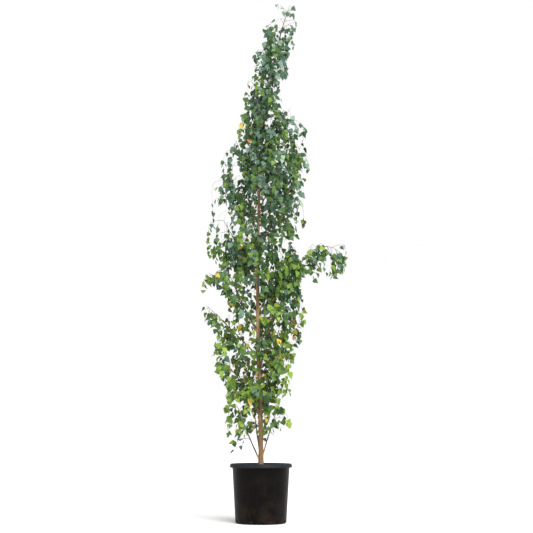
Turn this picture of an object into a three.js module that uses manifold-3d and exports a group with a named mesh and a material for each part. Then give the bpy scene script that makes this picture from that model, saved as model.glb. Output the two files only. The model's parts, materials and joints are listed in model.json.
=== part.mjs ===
// A young birch, grown narrow and leafy to the ground, in a round black nursery pot.
//
// Millimetres, +Z up. The origin is the centre of the pot's flat underside, the view from the
// front looks along +Y, and +X is to the right. Heights of limbs are measured from the soil.

import * as THREE from "three";
import { mergeVertices } from "three/addons/utils/BufferGeometryUtils.js";
import Module from "manifold-3d";

const wasm = await Module();
wasm.setup();

// Every piece keeps this far from the piece that carries it.
const CLEARANCE = 0.3;

// Corners closer than this are one, and a fused surface may be moved by this much to clean it.
const SAME_CORNER = 1e-4;
const SMOOTHING = 0.02;

// The pot
const POT_HEIGHT = 400;
const RIM_RADIUS = 215;
const RIM_DEPTH = 26;
const RIM_EDGE = 4;
const BODY_TOP_RADIUS = 195;
const BODY_FOOT_RADIUS = 174;
const FOOT_BEVEL = 9;
const POT_WALL = 5;
const POT_FLOOR = 7;
const POT_FACETS = 36;
const DRAIN_COUNT = 8;
const DRAIN_WIDTH = 34;
const DRAIN_HEIGHT = 16;
const DRAIN_DEPTH = 30;

// The potting soil, and the level that the tree grows from
const SOIL_BELOW_RIM = 22;
const SOIL_TOP = POT_HEIGHT - SOIL_BELOW_RIM;

// The trunk: a slight bow to the left, then a leader that leans over to the right
const LEADER_LENGTH = 3300;
const TRUNK_LENGTH = 3080;
const TRUNK_RADIUS = 16.5;
const LEADER_TIP_RADIUS = 1.8;
const LEADER_SPREAD = 160;
const FLARE = 8;
const FLARE_HEIGHT = 24;
const BOW = 24;
const BOW_FROM = 220;
const BOW_TO = 2320;
const LEAN = 205;
const LEAN_FROM = 2020;
const SWAY = 12;
const TRUNK_SIDES = 8;
const TRUNK_STEPS = 32;

// How far limbs reach to the left and right of the trunk at each height
const CROWN = [
  { height: 200, left: 210, right: 170 },
  { height: 600, left: 260, right: 225 },
  { height: 1100, left: 390, right: 340 },
  { height: 1600, left: 385, right: 335 },
  { height: 2100, left: 330, right: 380 },
  { height: 2420, left: 230, right: 370 },
  { height: 2750, left: 165, right: 210 },
  { height: 3300, left: 120, right: 95 },
];

// The crown's edge: how far leaves go to the left and right of the pot's axis at each height
const CROWN_EDGE = [
  { height: 40, left: 200, right: 30 },
  { height: 180, left: 210, right: 60 },
  { height: 260, left: 270, right: 210 },
  { height: 600, left: 280, right: 220 },
  { height: 720, left: 390, right: 230 },
  { height: 980, left: 400, right: 330 },
  { height: 1170, left: 450, right: 320 },
  { height: 1260, left: 430, right: 450 },
  { height: 1320, left: 440, right: 625 },
  { height: 1560, left: 380, right: 625 },
  { height: 1620, left: 380, right: 320 },
  { height: 1920, left: 340, right: 300 },
  { height: 2100, left: 300, right: 360 },
  { height: 2340, left: 220, right: 340 },
  { height: 2570, left: 130, right: 270 },
  { height: 2740, left: 90, right: 200 },
  { height: 2920, left: 65, right: 200 },
  { height: 3010, left: 10, right: 205 },
  { height: 3110, left: -20, right: 215 },
  { height: 3320, left: -40, right: 260 },
];

// Gaps at the crown's edge that show sky: where each is across and up, its half width and half height
const SKY_GAPS = [
  { across: 340, height: 1577, wide: 110, high: 50 },
  { across: -310, height: 1142, wide: 70, high: 70 },
  { across: 310, height: 1232, wide: 50, high: 90 },
  { across: -290, height: 1652, wide: 50, high: 45 },
  { across: 170, height: 2652, wide: 50, high: 80 },
  { across: 250, height: 2602, wide: 40, high: 50 },
  { across: -400, height: 1422, wide: 50, high: 50 },
  { across: -260, height: 442, wide: 40, high: 45 },
  { across: -220, height: 2192, wide: 30, high: 120 },
  { across: -310, height: 2052, wide: 30, high: 60 },
  { across: 140, height: 212, wide: 40, high: 40 },
];

// Limbs that climb the trunk in a spiral, one leaf-scar spacing after another
const GOLDEN_ANGLE = THREE.MathUtils.degToRad(137.508);
const SPIRAL_COUNT = 18;
const SPIRAL_FROM = 330;
const SPIRAL_TO = 2820;
const SPIRAL_START = THREE.MathUtils.degToRad(20);
const LOW_RISE = 520;
const HIGH_RISE = 330;
const LEAST_SPREAD = 140;
const MOST_SPREAD = 190;
const SPIRAL_ARCH = 0.38;
const TIP_SHARE = 0.68;
const WIDEST_SHARE = 0.8;
const SPREAD_SHARE = 0.6;
const BARE_LIMIT = 1900;
const BARE_SHARE = 0.24;

// Limbs that stand out of the spiral, with twigs of one spread. Bearings are in degrees: 0 points
// right and 90 points to the back. Arch is the share of the rise that is climbed halfway out, and
// bare the share of the limb that has no twigs.
const SINGLE_SPREAD = 126;
const SINGLE_LIMBS = [
  { name: "foot_left", height: 26, bearing: 186, reach: 165, rise: 400, arch: 0.42, bare: 0.32 },
  { name: "foot_back", height: 34, bearing: 112, reach: 135, rise: 430, arch: 0.42, bare: 0.32 },
  { name: "foot_right", height: 30, bearing: -18, reach: 135, rise: 390, arch: 0.6, bare: 0.34 },
  { name: "low_front", height: 290, bearing: 258, reach: 130, rise: 350, arch: 0.45, bare: 0.2 },
  { name: "low_left", height: 350, bearing: 196, reach: 290, rise: 400, arch: 0.7, bare: 0.26 },
  { name: "low_right", height: 590, bearing: -16, reach: 255, rise: 460, arch: 0.5, bare: 0.24 },
  { name: "middle_left", height: 750, bearing: 172, reach: 370, rise: 370, arch: 0.52, bare: 0.3 },
  { name: "upper_left", height: 930, bearing: 160, reach: 380, rise: 430, arch: 0.8, bare: 0.34 },
  { name: "long_right", height: 660, bearing: 4, reach: 615, rise: 800, arch: 1.42, bare: 0.42 },
  { name: "middle_right", height: 1010, bearing: -26, reach: 275, rise: 460, arch: 0.5, bare: 0.24 },
  { name: "shoulder_left", height: 1330, bearing: 190, reach: 280, rise: 430, arch: 0.45, bare: 0.24 },
  { name: "shoulder_right", height: 1750, bearing: 4, reach: 290, rise: 520, arch: 0.48, bare: 0.2 },
  { name: "crest_left", height: 1900, bearing: 172, reach: 190, rise: 410, arch: 0.45, bare: 0.2 },
];

// Sizes that every limb shares
const LIMB_RADIUS_SHARE = 0.32;
const LIMB_LEAST_RADIUS = 3.8;
const LIMB_TIP_RADIUS = 3;
const LIMB_SWEEP = 0.8;
const KNEE_SWEEP = 0.3;
const LIMB_SIDES = 5;
const LIMB_STEPS = 4;
const STEM_SAMPLES = 7;

// Twigs: three-sided, with one edge turned down, so that leaves hang from both lower faces
const LEFT_CORNER = THREE.MathUtils.degToRad(150);
const RIGHT_CORNER = THREE.MathUtils.degToRad(30);
const LOWER_CORNER = THREE.MathUtils.degToRad(-90);
const LOWER_FACES = [1, 2];
const TWIGS_PER_STEM = 8;
const FIRST_TWIG = 0.1;
const LAST_TWIG = 0.88;
const TWIG_ANGLE = THREE.MathUtils.degToRad(54);
const TWIG_TAPER = 0.42;
const TWIG_VARIATION = 0.2;
const TWIG_DROOP = 0.3;
const TWIG_RADIUS = 2.8;
const TWIG_TIP_RADIUS = 1.9;
const TWIG_ROOT_RADIUS = 1.3;
const LEAST_TWIG = 55;
const TWIG_SAMPLES = 12;

// Leaves: deltoid blades in pairs, each larger than life because it stands for a spray
const LEAF_LENGTH = 96;
const LEAF_WIDTH = 86;
const LEAF_SHOULDER = 0.3;
const LEAF_BASE = 8;
const LEAF_SPACING = 56;
const FIRST_LEAF = 40;
const LEAF_OUT = 0.62;
const LEAF_DOWN = 0.8;
const LEAF_JITTER = 0.7;
const LEVEL_TWIST = THREE.MathUtils.degToRad(25);
const STEEP_TWIST = THREE.MathUtils.degToRad(72);
const TWIST_JITTER = THREE.MathUtils.degToRad(50);
const LEAF_TRIES = 9;
const KEYS_PER_MASS = 4000;
const KEYS_PER_TWIG = 400;
const KEYS_PER_TRY = 40;
const LEAF_MARGIN = 1.08;

// How far twigs and leaves keep from limbs, and from the space of the next mass
const LIMB_ROOM = 4;
const SPACE_ROOM = 7;
const TUBE_SAMPLE = 18;
const TWIG_ROOM = 12;

const UP = new THREE.Vector3(0, 0, 1);

const BARK = { color: 0x8a6238, roughness: 0.85, metalness: 0 };
const YOUNG_BARK = { color: 0x4d3a33, roughness: 0.8, metalness: 0 };
const LEAF_GREEN = { color: 0x4c7030, roughness: 0.6, metalness: 0 };
const BLACK_PLASTIC = { color: 0x191817, roughness: 0.55, metalness: 0 };
const POTTING_SOIL = { color: 0x2e2119, roughness: 0.95, metalness: 0 };

// A fixed fraction between 0 and 1 for each pair of keys, in place of a random draw.
function chance(first, second) {
  const wave = Math.sin(first * 12.9898 + second * 78.233) * 43758.5453;
  return wave - Math.floor(wave);
}

function mix(from, to, share) {
  return from + (to - from) * share;
}

// Solids

function solidOf(geometry) {
  geometry.deleteAttribute("normal");
  geometry.deleteAttribute("uv");
  const closed = mergeVertices(geometry, SAME_CORNER);
  return new wasm.Manifold(
    new wasm.Mesh({
      numProp: 3,
      vertProperties: new Float32Array(closed.getAttribute("position").array),
      triVerts: new Uint32Array(closed.index.array),
    }),
  );
}

function meshOf(solid, name, finish) {
  const made = solid.getMesh();
  const geometry = new THREE.BufferGeometry();
  geometry.setAttribute("position", new THREE.BufferAttribute(made.vertProperties, 3));
  geometry.setIndex(new THREE.BufferAttribute(made.triVerts, 1));
  geometry.computeVertexNormals();
  const mesh = new THREE.Mesh(geometry, new THREE.MeshStandardMaterial(finish));
  mesh.name = name;
  return mesh;
}

// Joins pieces into one body. Scraps that touch nothing are dropped, and sealed hollows are filled.
function fuse(pieces) {
  const joined = wasm.Manifold.union(pieces).simplify(SMOOTHING);
  const bodies = joined.decompose();
  return bodies.reduce((largest, body) => (body.volume() > largest.volume() ? body : largest));
}

// A round limb along a curve: a cylinder whose rings are carried to the curve and narrowed.
function taperedLimb(curve, radiusAt, sides, steps) {
  const frames = curve.computeFrenetFrames(steps, false);
  const limb = new THREE.CylinderGeometry(1, 1, 1, sides, steps);
  const position = limb.getAttribute("position");
  for (let i = 0; i < position.count; i++) {
    const share = position.getY(i) + 0.5;
    const ring = Math.round(share * steps);
    const radius = radiusAt(share);
    const point = curve
      .getPointAt(share)
      .addScaledVector(frames.binormals[ring], position.getX(i) * radius)
      .addScaledVector(frames.normals[ring], position.getZ(i) * radius);
    position.setXYZ(i, point.x, point.y, point.z);
  }
  return limb;
}

// Curves

class TrunkLine extends THREE.Curve {
  constructor(from, to) {
    super();
    this.from = from;
    this.to = to;
  }
  getPoint(share, target = new THREE.Vector3()) {
    const height = mix(this.from, this.to, share);
    const bowed = THREE.MathUtils.clamp((height - BOW_FROM) / (BOW_TO - BOW_FROM), 0, 1);
    const leaned = Math.max(0, (height - LEAN_FROM) / (LEADER_LENGTH - LEAN_FROM));
    const x = LEAN * leaned ** 2 - BOW * Math.sin(Math.PI * bowed);
    const y = SWAY * (1 - Math.cos((2 * Math.PI * height) / LEADER_LENGTH));
    return target.set(x, y, height);
  }
}

class PartOfCurve extends THREE.Curve {
  constructor(whole, from, to) {
    super();
    this.whole = whole;
    this.from = from;
    this.to = to;
  }
  getPoint(share, target = new THREE.Vector3()) {
    return this.whole.getPointAt(mix(this.from, this.to, share), target);
  }
}

function trunkPoint(height) {
  return new TrunkLine(0, LEADER_LENGTH).getPoint(height / LEADER_LENGTH);
}

function trunkRadius(height) {
  const taper = mix(TRUNK_RADIUS, LEADER_TIP_RADIUS, height / LEADER_LENGTH);
  return taper + FLARE * Math.exp(-height / FLARE_HEIGHT);
}

// The reach to the left and to the right at a height, between the rings of an outline.
function reachesAt(outline, height) {
  const above = outline.findIndex((ring) => ring.height >= height);
  const high = outline.at(above);
  const low = outline[Math.max(0, outline.indexOf(high) - 1)];
  const share = THREE.MathUtils.clamp((height - low.height) / (high.height - low.height || 1), 0, 1);
  return { left: mix(low.left, high.left, share), right: mix(low.right, high.right, share) };
}

function crownReach(height, bearing) {
  const { left, right } = reachesAt(CROWN, height);
  return mix(left, right, (1 + Math.cos(bearing)) / 2);
}

function showsSky(point) {
  return SKY_GAPS.some(({ across, height, wide, high }) => {
    return ((point.x - across) / wide) ** 2 + ((point.z - height) / high) ** 2 < 1;
  });
}

function insideCrown(point) {
  const { left, right } = reachesAt(CROWN_EDGE, point.z);
  return point.x > -left && point.x < right && !showsSky(point);
}

// Limbs

// The spiral's limbs: each ends short of the crown's outline, by the room that its twigs need.
function spiralLimbs() {
  return Array.from({ length: SPIRAL_COUNT }, (_, i) => {
    const share = i / (SPIRAL_COUNT - 1);
    const height = mix(SPIRAL_FROM, SPIRAL_TO, share);
    const bearing = SPIRAL_START + i * GOLDEN_ANGLE;
    const rise = mix(LOW_RISE, HIGH_RISE, share);
    const outline = crownReach(height + WIDEST_SHARE * rise, bearing);
    return {
      name: `spiral_${String(i + 1).padStart(2, "0")}`,
      height,
      bearing: THREE.MathUtils.radToDeg(bearing),
      reach: outline * TIP_SHARE,
      rise,
      arch: SPIRAL_ARCH,
      spread: THREE.MathUtils.clamp(outline * SPREAD_SHARE, LEAST_SPREAD, MOST_SPREAD),
      bare: height < BARE_LIMIT ? BARE_SHARE : 0,
    };
  });
}

// Gives a limb its curve, its bare bough and the stem that carries its twigs. It sweeps over to the
// side with the trunk above it.
function growLimb(sizes, number) {
  const bearing = THREE.MathUtils.degToRad(sizes.bearing);
  const outward = new THREE.Vector3(Math.cos(bearing), Math.sin(bearing), 0);
  const root = trunkPoint(sizes.height);
  const sweep = trunkPoint(sizes.height + sizes.rise).sub(root).setZ(0).multiplyScalar(LIMB_SWEEP);
  const tip = root
    .clone()
    .add(sweep)
    .addScaledVector(outward, sizes.reach)
    .addScaledVector(UP, sizes.rise);
  const knee = root
    .clone()
    .addScaledVector(sweep, KNEE_SWEEP)
    .addScaledVector(outward, sizes.reach / 2)
    .addScaledVector(UP, sizes.rise * sizes.arch);
  const line = new THREE.QuadraticBezierCurve3(root, knee, tip);
  const thick = Math.max(LIMB_LEAST_RADIUS, trunkRadius(sizes.height + FLARE_HEIGHT) * LIMB_RADIUS_SHARE);
  const gap = CLEARANCE / line.getLength();
  return {
    ...sizes,
    number,
    bough: sizes.bare > 0 ? new PartOfCurve(line, 0, sizes.bare) : null,
    stem: new PartOfCurve(line, sizes.bare > 0 ? sizes.bare + gap : 0, 1),
    boughRadius: (share) => mix(thick, LIMB_TIP_RADIUS, share * sizes.bare),
    stemRadius: (share) => mix(thick, LIMB_TIP_RADIUS, mix(sizes.bare, 1, share)),
  };
}

// The leader's own shoot goes on along the trunk's line, beyond the trunk's cut tip.
function growLeader(number) {
  const thick = trunkRadius(TRUNK_LENGTH);
  return {
    name: "leader",
    number,
    spread: LEADER_SPREAD,
    bough: null,
    stem: new TrunkLine(TRUNK_LENGTH + CLEARANCE, LEADER_LENGTH),
    stemRadius: (share) => mix(thick, LIMB_TIP_RADIUS, share),
  };
}

// Room: what twigs and leaves have to keep clear of

// A curve as a row of points, for measuring distances to it.
function track(curve, radiusAt, steps) {
  return curve.getSpacedPoints(steps).map((point, i) => ({ point, radius: radiusAt(i / steps) }));
}

function distanceTo(row, point, beyondBark) {
  let nearest = Infinity;
  const closest = new THREE.Vector3();
  for (let i = 1; i < row.length; i++) {
    const span = new THREE.Line3(row[i - 1].point, row[i].point);
    span.closestPointToPoint(point, true, closest);
    nearest = Math.min(nearest, closest.distanceTo(point) - (beyondBark ? row[i - 1].radius : 0));
  }
  return nearest;
}

// A point inside the crown belongs to the stem that it lies nearest to, and stays clear of bare limbs' bark.
function keepsToSpace(point, own, stems, barks) {
  if (!insideCrown(point)) return false;
  if (barks.some((row) => distanceTo(row, point, true) < LIMB_ROOM)) return false;
  const near = distanceTo(stems[own], point, false);
  return stems.every((row, i) => i === own || distanceTo(row, point, false) > near + SPACE_ROOM);
}

// Foliage

function sideways(direction, turn) {
  const swing = new THREE.Quaternion().setFromUnitVectors(UP, direction);
  return new THREE.Vector3(Math.cos(turn), Math.sin(turn), 0).applyQuaternion(swing);
}

// One twig: it leaves the stem at an angle, reaches out and droops towards its end.
function twigLine(limb, order) {
  const share = mix(FIRST_TWIG, LAST_TWIG, order / (TWIGS_PER_STEM - 1));
  const root = limb.stem.getPointAt(share);
  const along = limb.stem.getTangentAt(share);
  const out = sideways(along, limb.number + order * GOLDEN_ANGLE);
  const heading = along.multiplyScalar(Math.cos(TWIG_ANGLE)).addScaledVector(out, Math.sin(TWIG_ANGLE));
  const variation = mix(1 - TWIG_VARIATION, 1 + TWIG_VARIATION, chance(limb.number, order));
  const length = limb.spread * (1 - TWIG_TAPER * share) * variation;
  const middle = root.clone().addScaledVector(heading, length / 2);
  const end = root.clone().addScaledVector(heading, length).addScaledVector(UP, -TWIG_DROOP * length);
  return new THREE.QuadraticBezierCurve3(root, middle, end);
}

// The stretch of a twig from its root that keeps to its space, or nothing if that is too short.
function fittingStretch(twig, fits) {
  const points = twig.getSpacedPoints(TWIG_SAMPLES).slice(1);
  const firstOut = points.findIndex((point) => !fits(point));
  const share = (firstOut < 0 ? TWIG_SAMPLES : firstOut) / TWIG_SAMPLES;
  return share * twig.getLength() < LEAST_TWIG ? null : new PartOfCurve(twig, 0, share);
}

// The directions of a three-sided limb at one place: its corners are left, right and below.
function ringAt(curve, share, radius) {
  const centre = curve.getPointAt(share);
  const along = curve.getTangentAt(share);
  const right = along.clone().cross(UP).normalize();
  const above = right.clone().cross(along);
  const corners = [LEFT_CORNER, RIGHT_CORNER, LOWER_CORNER].map((turn) => {
    return centre
      .clone()
      .addScaledVector(right, radius * Math.cos(turn))
      .addScaledVector(above, radius * Math.sin(turn));
  });
  return { along, corners };
}

// One leaf on a face of the limb: its root and its left, right and end points. It hangs out and down.
function leafOn(ring, face, key) {
  const first = ring.corners[face];
  const second = ring.corners[(face + 1) % 3];
  const across = second.clone().sub(first).normalize();
  const facing = across.clone().cross(ring.along);
  const root = first.clone().add(second).divideScalar(2);
  const jitter = new THREE.Vector3(chance(key, 1), chance(key, 2), chance(key, 3)).subScalar(0.5);
  const hang = facing
    .multiplyScalar(LEAF_OUT)
    .addScaledVector(UP, -LEAF_DOWN)
    .addScaledVector(jitter, LEAF_JITTER)
    .normalize();
  const level = mix(LEVEL_TWIST, STEEP_TWIST, Math.abs(ring.along.z));
  const twist = level + TWIST_JITTER * (chance(key, 4) - 0.5);
  const width = ring.along
    .clone()
    .multiplyScalar(Math.cos(twist))
    .addScaledVector(across, Math.sin(twist))
    .projectOnPlane(hang)
    .normalize();
  const middle = root.clone().addScaledVector(hang, LEAF_SHOULDER * LEAF_LENGTH);
  return {
    root,
    left: middle.clone().addScaledVector(width, -LEAF_WIDTH / 2),
    right: middle.clone().addScaledVector(width, LEAF_WIDTH / 2),
    end: root.clone().addScaledVector(hang, LEAF_LENGTH),
  };
}

// Points along a leaf's rim and midrib, for telling what it comes near.
function leafSamples({ root, left, right, end }) {
  const lines = [[left, end], [right, end], [root, end], [left, right]];
  return [left, right, end, ...lines.map(([from, to]) => from.clone().lerp(to, 0.5))];
}

// Whether a straight line from one point to another passes through a leaf's blade.
function passesThrough(from, to, { root, left, right, end }) {
  const ray = new THREE.Ray(from, to.clone().sub(from).normalize());
  return [left, right].some((side) => {
    const hit = ray.intersectTriangle(root, side, end, false, new THREE.Vector3());
    return hit && hit.distanceTo(from) < to.distanceTo(from);
  });
}

function pierces({ root, left, right, end }, other) {
  const edges = [[root, left], [left, end], [end, right], [right, root], [root, end], [left, right]];
  return edges.some(([from, to]) => passesThrough(from, to, other));
}

// The same leaf drawn larger from its root, so that leaves which pass the tests keep a little apart.
function withMargin({ root, left, right, end }) {
  const grown = (corner) => root.clone().lerp(corner, LEAF_MARGIN);
  return { root, left: grown(left), right: grown(right), end: grown(end) };
}

function apart(points, others, room) {
  return points.every((point) => others.every((other) => point.distanceTo(other) > room));
}

// A three-sided limb whose two lower faces grow out into pairs of leaves, as one closed surface.
function leafyLimb(curve, radiusAt, seed, hasRoom) {
  const length = curve.getLength();
  const corners = [];
  const faces = [];
  const addRing = (place) => {
    const share = THREE.MathUtils.clamp(place / length, 0, 1);
    corners.push(...ringAt(curve, share, radiusAt(share)).corners);
    return corners.length - 3;
  };
  const addQuad = (a, b, c, d) => faces.push(a, b, c, a, c, d);
  const addLeaf = (a, b, c, d, leaf) => {
    const left = corners.push(leaf.left) - 1;
    const right = corners.push(leaf.right) - 1;
    const end = corners.push(leaf.end) - 1;
    faces.push(a, b, left, c, d, right);
    faces.push(b, c, right, b, right, end, b, end, left);
    faces.push(d, a, left, d, left, end, d, end, right);
  };
  const addSpan = (from, to, leaves) => {
    for (let face = 0; face < 3; face++) {
      const next = (face + 1) % 3;
      const outline = [from + face, from + next, to + next, to + face];
      if (leaves[face]) addLeaf(...outline, leaves[face]);
      else addQuad(...outline);
    }
  };

  let last = addRing(0);
  faces.push(last, last + 2, last + 1);
  const pairs = Math.floor((length - FIRST_LEAF) / LEAF_SPACING) + 1;
  for (let pair = pairs - 1; pair >= 0; pair--) {
    const place = length - LEAF_BASE - pair * LEAF_SPACING;
    const ring = ringAt(curve, place / length, radiusAt(place / length));
    const kept = [];
    for (const face of LOWER_FACES) {
      const keys = Array.from({ length: LEAF_TRIES }, (_, i) => seed + KEYS_PER_TRY * i + 2 * pair + face);
      kept[face] = keys.map((key) => leafOn(ring, face, key)).find(hasRoom);
    }
    const isTip = pair === 0;
    if (!isTip && !kept.some(Boolean)) continue;
    const from = addRing(place);
    const to = addRing(place + LEAF_BASE);
    addSpan(last, from, []);
    addSpan(from, to, kept);
    last = to;
  }
  faces.push(last, last + 1, last + 2);
  return new THREE.BufferGeometry().setFromPoints(corners).setIndex(faces);
}

// One mass of foliage: its twigs and its stem, with leaves that keep clear of each other.
function growMass(limb, limbLines, fits) {
  const narrow = (share) => (share === 0 ? TWIG_ROOT_RADIUS : mix(TWIG_RADIUS, TWIG_TIP_RADIUS, share));
  const limbs = Array.from({ length: TWIGS_PER_STEM }, (_, order) => ({
    curve: fittingStretch(twigLine(limb, order), fits),
    radiusAt: narrow,
  })).filter((twig) => twig.curve);
  limbs.push({ curve: limb.stem, radiusAt: limb.stemRadius });

  const tubes = limbs.map(({ curve }) => curve.getSpacedPoints(Math.ceil(curve.getLength() / TUBE_SAMPLE)));
  const hung = [];
  const pieces = limbs.map(({ curve, radiusAt }, own) => {
    const hasRoom = (leaf) => {
      const wide = withMargin(leaf);
      const points = leafSamples(wide);
      const meets = (row) => row.some((point, i) => i > 0 && passesThrough(row[i - 1], point, wide));
      const clear =
        points.every(fits) &&
        !limbLines.some(meets) &&
        tubes.every((tube, i) => i === own || (apart(points, tube, TWIG_ROOM) && !meets(tube))) &&
        hung.every((other) => !pierces(wide, other) && !pierces(other, wide));
      if (clear) hung.push(wide);
      return clear;
    };
    return leafyLimb(curve, radiusAt, KEYS_PER_MASS * limb.number + KEYS_PER_TWIG * own, hasRoom);
  });
  return fuse(pieces.map(solidOf));
}

// The pot and its soil

function lathe(profile) {
  const points = profile.map(([radius, height]) => new THREE.Vector2(radius, height));
  const turned = new THREE.LatheGeometry(points, POT_FACETS);
  turned.rotateX(Math.PI / 2);
  return solidOf(turned);
}

function innerRadius(height) {
  return mix(BODY_FOOT_RADIUS, BODY_TOP_RADIUS, height / POT_HEIGHT) - POT_WALL;
}

function makePot() {
  const rimFoot = POT_HEIGHT - RIM_DEPTH;
  let pot = lathe([
    [0, 0],
    [BODY_FOOT_RADIUS - FOOT_BEVEL, 0],
    [BODY_FOOT_RADIUS, FOOT_BEVEL],
    [BODY_TOP_RADIUS, rimFoot - RIM_EDGE],
    [RIM_RADIUS - RIM_EDGE, rimFoot],
    [RIM_RADIUS, rimFoot + RIM_EDGE],
    [RIM_RADIUS - RIM_EDGE / 2, POT_HEIGHT - RIM_EDGE],
    [RIM_RADIUS - 2 * RIM_EDGE, POT_HEIGHT],
    [innerRadius(POT_HEIGHT) + RIM_EDGE, POT_HEIGHT],
    [innerRadius(rimFoot), rimFoot],
    [innerRadius(POT_FLOOR), POT_FLOOR],
    [0, POT_FLOOR],
  ]);
  for (let i = 0; i < DRAIN_COUNT; i++) {
    const drain = new THREE.BoxGeometry(DRAIN_DEPTH, DRAIN_WIDTH, DRAIN_HEIGHT);
    drain.translate(BODY_FOOT_RADIUS, 0, POT_FLOOR + DRAIN_HEIGHT / 2);
    drain.rotateZ(((i + 0.5) / DRAIN_COUNT) * 2 * Math.PI);
    pot = pot.subtract(solidOf(drain));
  }
  return meshOf(pot, "pot", BLACK_PLASTIC);
}

function makeSoil() {
  const bottom = POT_FLOOR + CLEARANCE;
  const soil = lathe([
    [0, bottom],
    [innerRadius(bottom) - 2 * CLEARANCE, bottom],
    [innerRadius(SOIL_TOP) - 2 * CLEARANCE, SOIL_TOP],
    [0, SOIL_TOP],
  ]);
  return meshOf(soil, "soil", POTTING_SOIL);
}

// The tree

function makeTree() {
  const tree = new THREE.Group();
  tree.position.z = SOIL_TOP + CLEARANCE;

  const trunkLine = new TrunkLine(0, TRUNK_LENGTH);
  const trunkBark = (share) => trunkRadius(share * TRUNK_LENGTH);
  const trunk = solidOf(taperedLimb(trunkLine, trunkBark, TRUNK_SIDES, TRUNK_STEPS));
  tree.add(meshOf(trunk, "trunk", BARK));

  // What limbs are cut back by, so that each seats on the trunk's bark
  const trunkRoom = solidOf(
    taperedLimb(trunkLine, (share) => trunkBark(share) + CLEARANCE, TRUNK_SIDES, TRUNK_STEPS),
  );
  const singles = SINGLE_LIMBS.map((sizes) => ({ ...sizes, spread: SINGLE_SPREAD }));
  const plan = [...singles, ...spiralLimbs()];
  const limbs = [...plan.map((sizes, i) => growLimb(sizes, i + 1)), growLeader(plan.length + 1)];

  const barks = [track(trunkLine, trunkBark, TRUNK_STEPS)];
  const boughs = new THREE.Group();
  for (const limb of limbs.filter((l) => l.bough)) {
    barks.push(track(limb.bough, limb.boughRadius, LIMB_STEPS));
    const bough = solidOf(taperedLimb(limb.bough, limb.boughRadius, LIMB_SIDES, LIMB_STEPS));
    boughs.add(meshOf(bough.subtract(trunkRoom), `bough_${limb.name}`, YOUNG_BARK));
  }

  const limbLines = barks.map((row) => row.map(({ point }) => point));
  const stems = limbs.map((limb) => track(limb.stem, limb.stemRadius, STEM_SAMPLES));
  const foliage = new THREE.Group();
  limbs.forEach((limb, own) => {
    const fits = (point) => keepsToSpace(point, own, stems, barks);
    const mass = growMass(limb, limbLines, fits).subtract(trunkRoom);
    foliage.add(meshOf(mass, `foliage_${limb.name}`, LEAF_GREEN));
  });
  return tree.add(boughs, foliage);
}

const birch = new THREE.Group();
birch.add(makePot(), makeSoil(), makeTree());

export default birch;
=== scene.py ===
# %% [markdown]
# # A young birch in a nursery pot
# A birch of a good three metres stands in a round black pot, as a grower sells it. The solids of the
# frame hold its true size: pot, soil, trunk, boughs and one mass of foliage for each limb. This lesson
# keeps that size and puts real bark, twigs and leaves in the same places.

import json
import math
from dataclasses import dataclass

import bmesh
import bpy
import numpy as np
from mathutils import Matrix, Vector, noise

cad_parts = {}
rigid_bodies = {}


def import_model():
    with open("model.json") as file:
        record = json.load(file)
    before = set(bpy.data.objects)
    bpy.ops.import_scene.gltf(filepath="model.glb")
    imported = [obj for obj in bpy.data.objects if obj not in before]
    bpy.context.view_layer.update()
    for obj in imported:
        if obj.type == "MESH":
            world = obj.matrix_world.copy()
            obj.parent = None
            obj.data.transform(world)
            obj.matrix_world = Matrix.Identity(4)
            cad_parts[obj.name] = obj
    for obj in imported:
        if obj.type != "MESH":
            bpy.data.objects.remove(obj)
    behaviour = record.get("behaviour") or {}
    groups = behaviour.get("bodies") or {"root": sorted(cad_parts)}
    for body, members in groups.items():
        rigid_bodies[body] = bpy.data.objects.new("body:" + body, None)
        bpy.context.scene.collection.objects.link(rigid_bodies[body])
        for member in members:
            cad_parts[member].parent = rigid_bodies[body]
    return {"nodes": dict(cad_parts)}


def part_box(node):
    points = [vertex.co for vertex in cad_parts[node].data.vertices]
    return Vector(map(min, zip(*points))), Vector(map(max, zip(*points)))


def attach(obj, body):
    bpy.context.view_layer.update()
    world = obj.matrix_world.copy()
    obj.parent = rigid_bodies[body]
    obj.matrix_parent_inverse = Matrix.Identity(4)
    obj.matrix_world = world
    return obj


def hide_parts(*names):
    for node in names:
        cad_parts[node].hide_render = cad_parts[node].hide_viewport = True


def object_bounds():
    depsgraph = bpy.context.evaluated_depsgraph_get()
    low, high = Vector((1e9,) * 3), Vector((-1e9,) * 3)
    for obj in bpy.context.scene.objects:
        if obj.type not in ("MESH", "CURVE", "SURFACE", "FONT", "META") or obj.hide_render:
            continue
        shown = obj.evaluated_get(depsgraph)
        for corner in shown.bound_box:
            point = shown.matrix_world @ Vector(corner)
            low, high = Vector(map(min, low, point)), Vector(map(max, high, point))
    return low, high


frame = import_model()
cad_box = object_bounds()
bough_nodes = sorted(name for name in frame["nodes"] if name.startswith("bough_"))
foliage_nodes = sorted(name for name in frame["nodes"] if name.startswith("foliage_"))
print(f"{len(bough_nodes)} boughs and {len(foliage_nodes)} masses, {cad_box[1].z:.2f} m high")

# %% [markdown]
# ## The camera
# The photograph is taken to be from low down, eight metres away, with the camera tipped up a little: the
# pot's rim shows as a flat band and the crown narrows towards the top. A camera could be aimed with a
# constraint, but fixed numbers are easier to read and give the same view every time.

# %% Place the camera
FRAME_PIXELS = 533
FOCAL_PIXELS = 1151.7
SENSOR_MM = 36.0
CAMERA_PLACE = (0.038, -8.0, 0.61)
CAMERA_TIP_UP = math.radians(8.2)

scene = bpy.context.scene


def show(name, data):
    """Puts a mesh, a lamp or a camera into the scene as an object at the origin."""
    shown = bpy.data.objects.new(name, data)
    scene.collection.objects.link(shown)
    return shown


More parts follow.
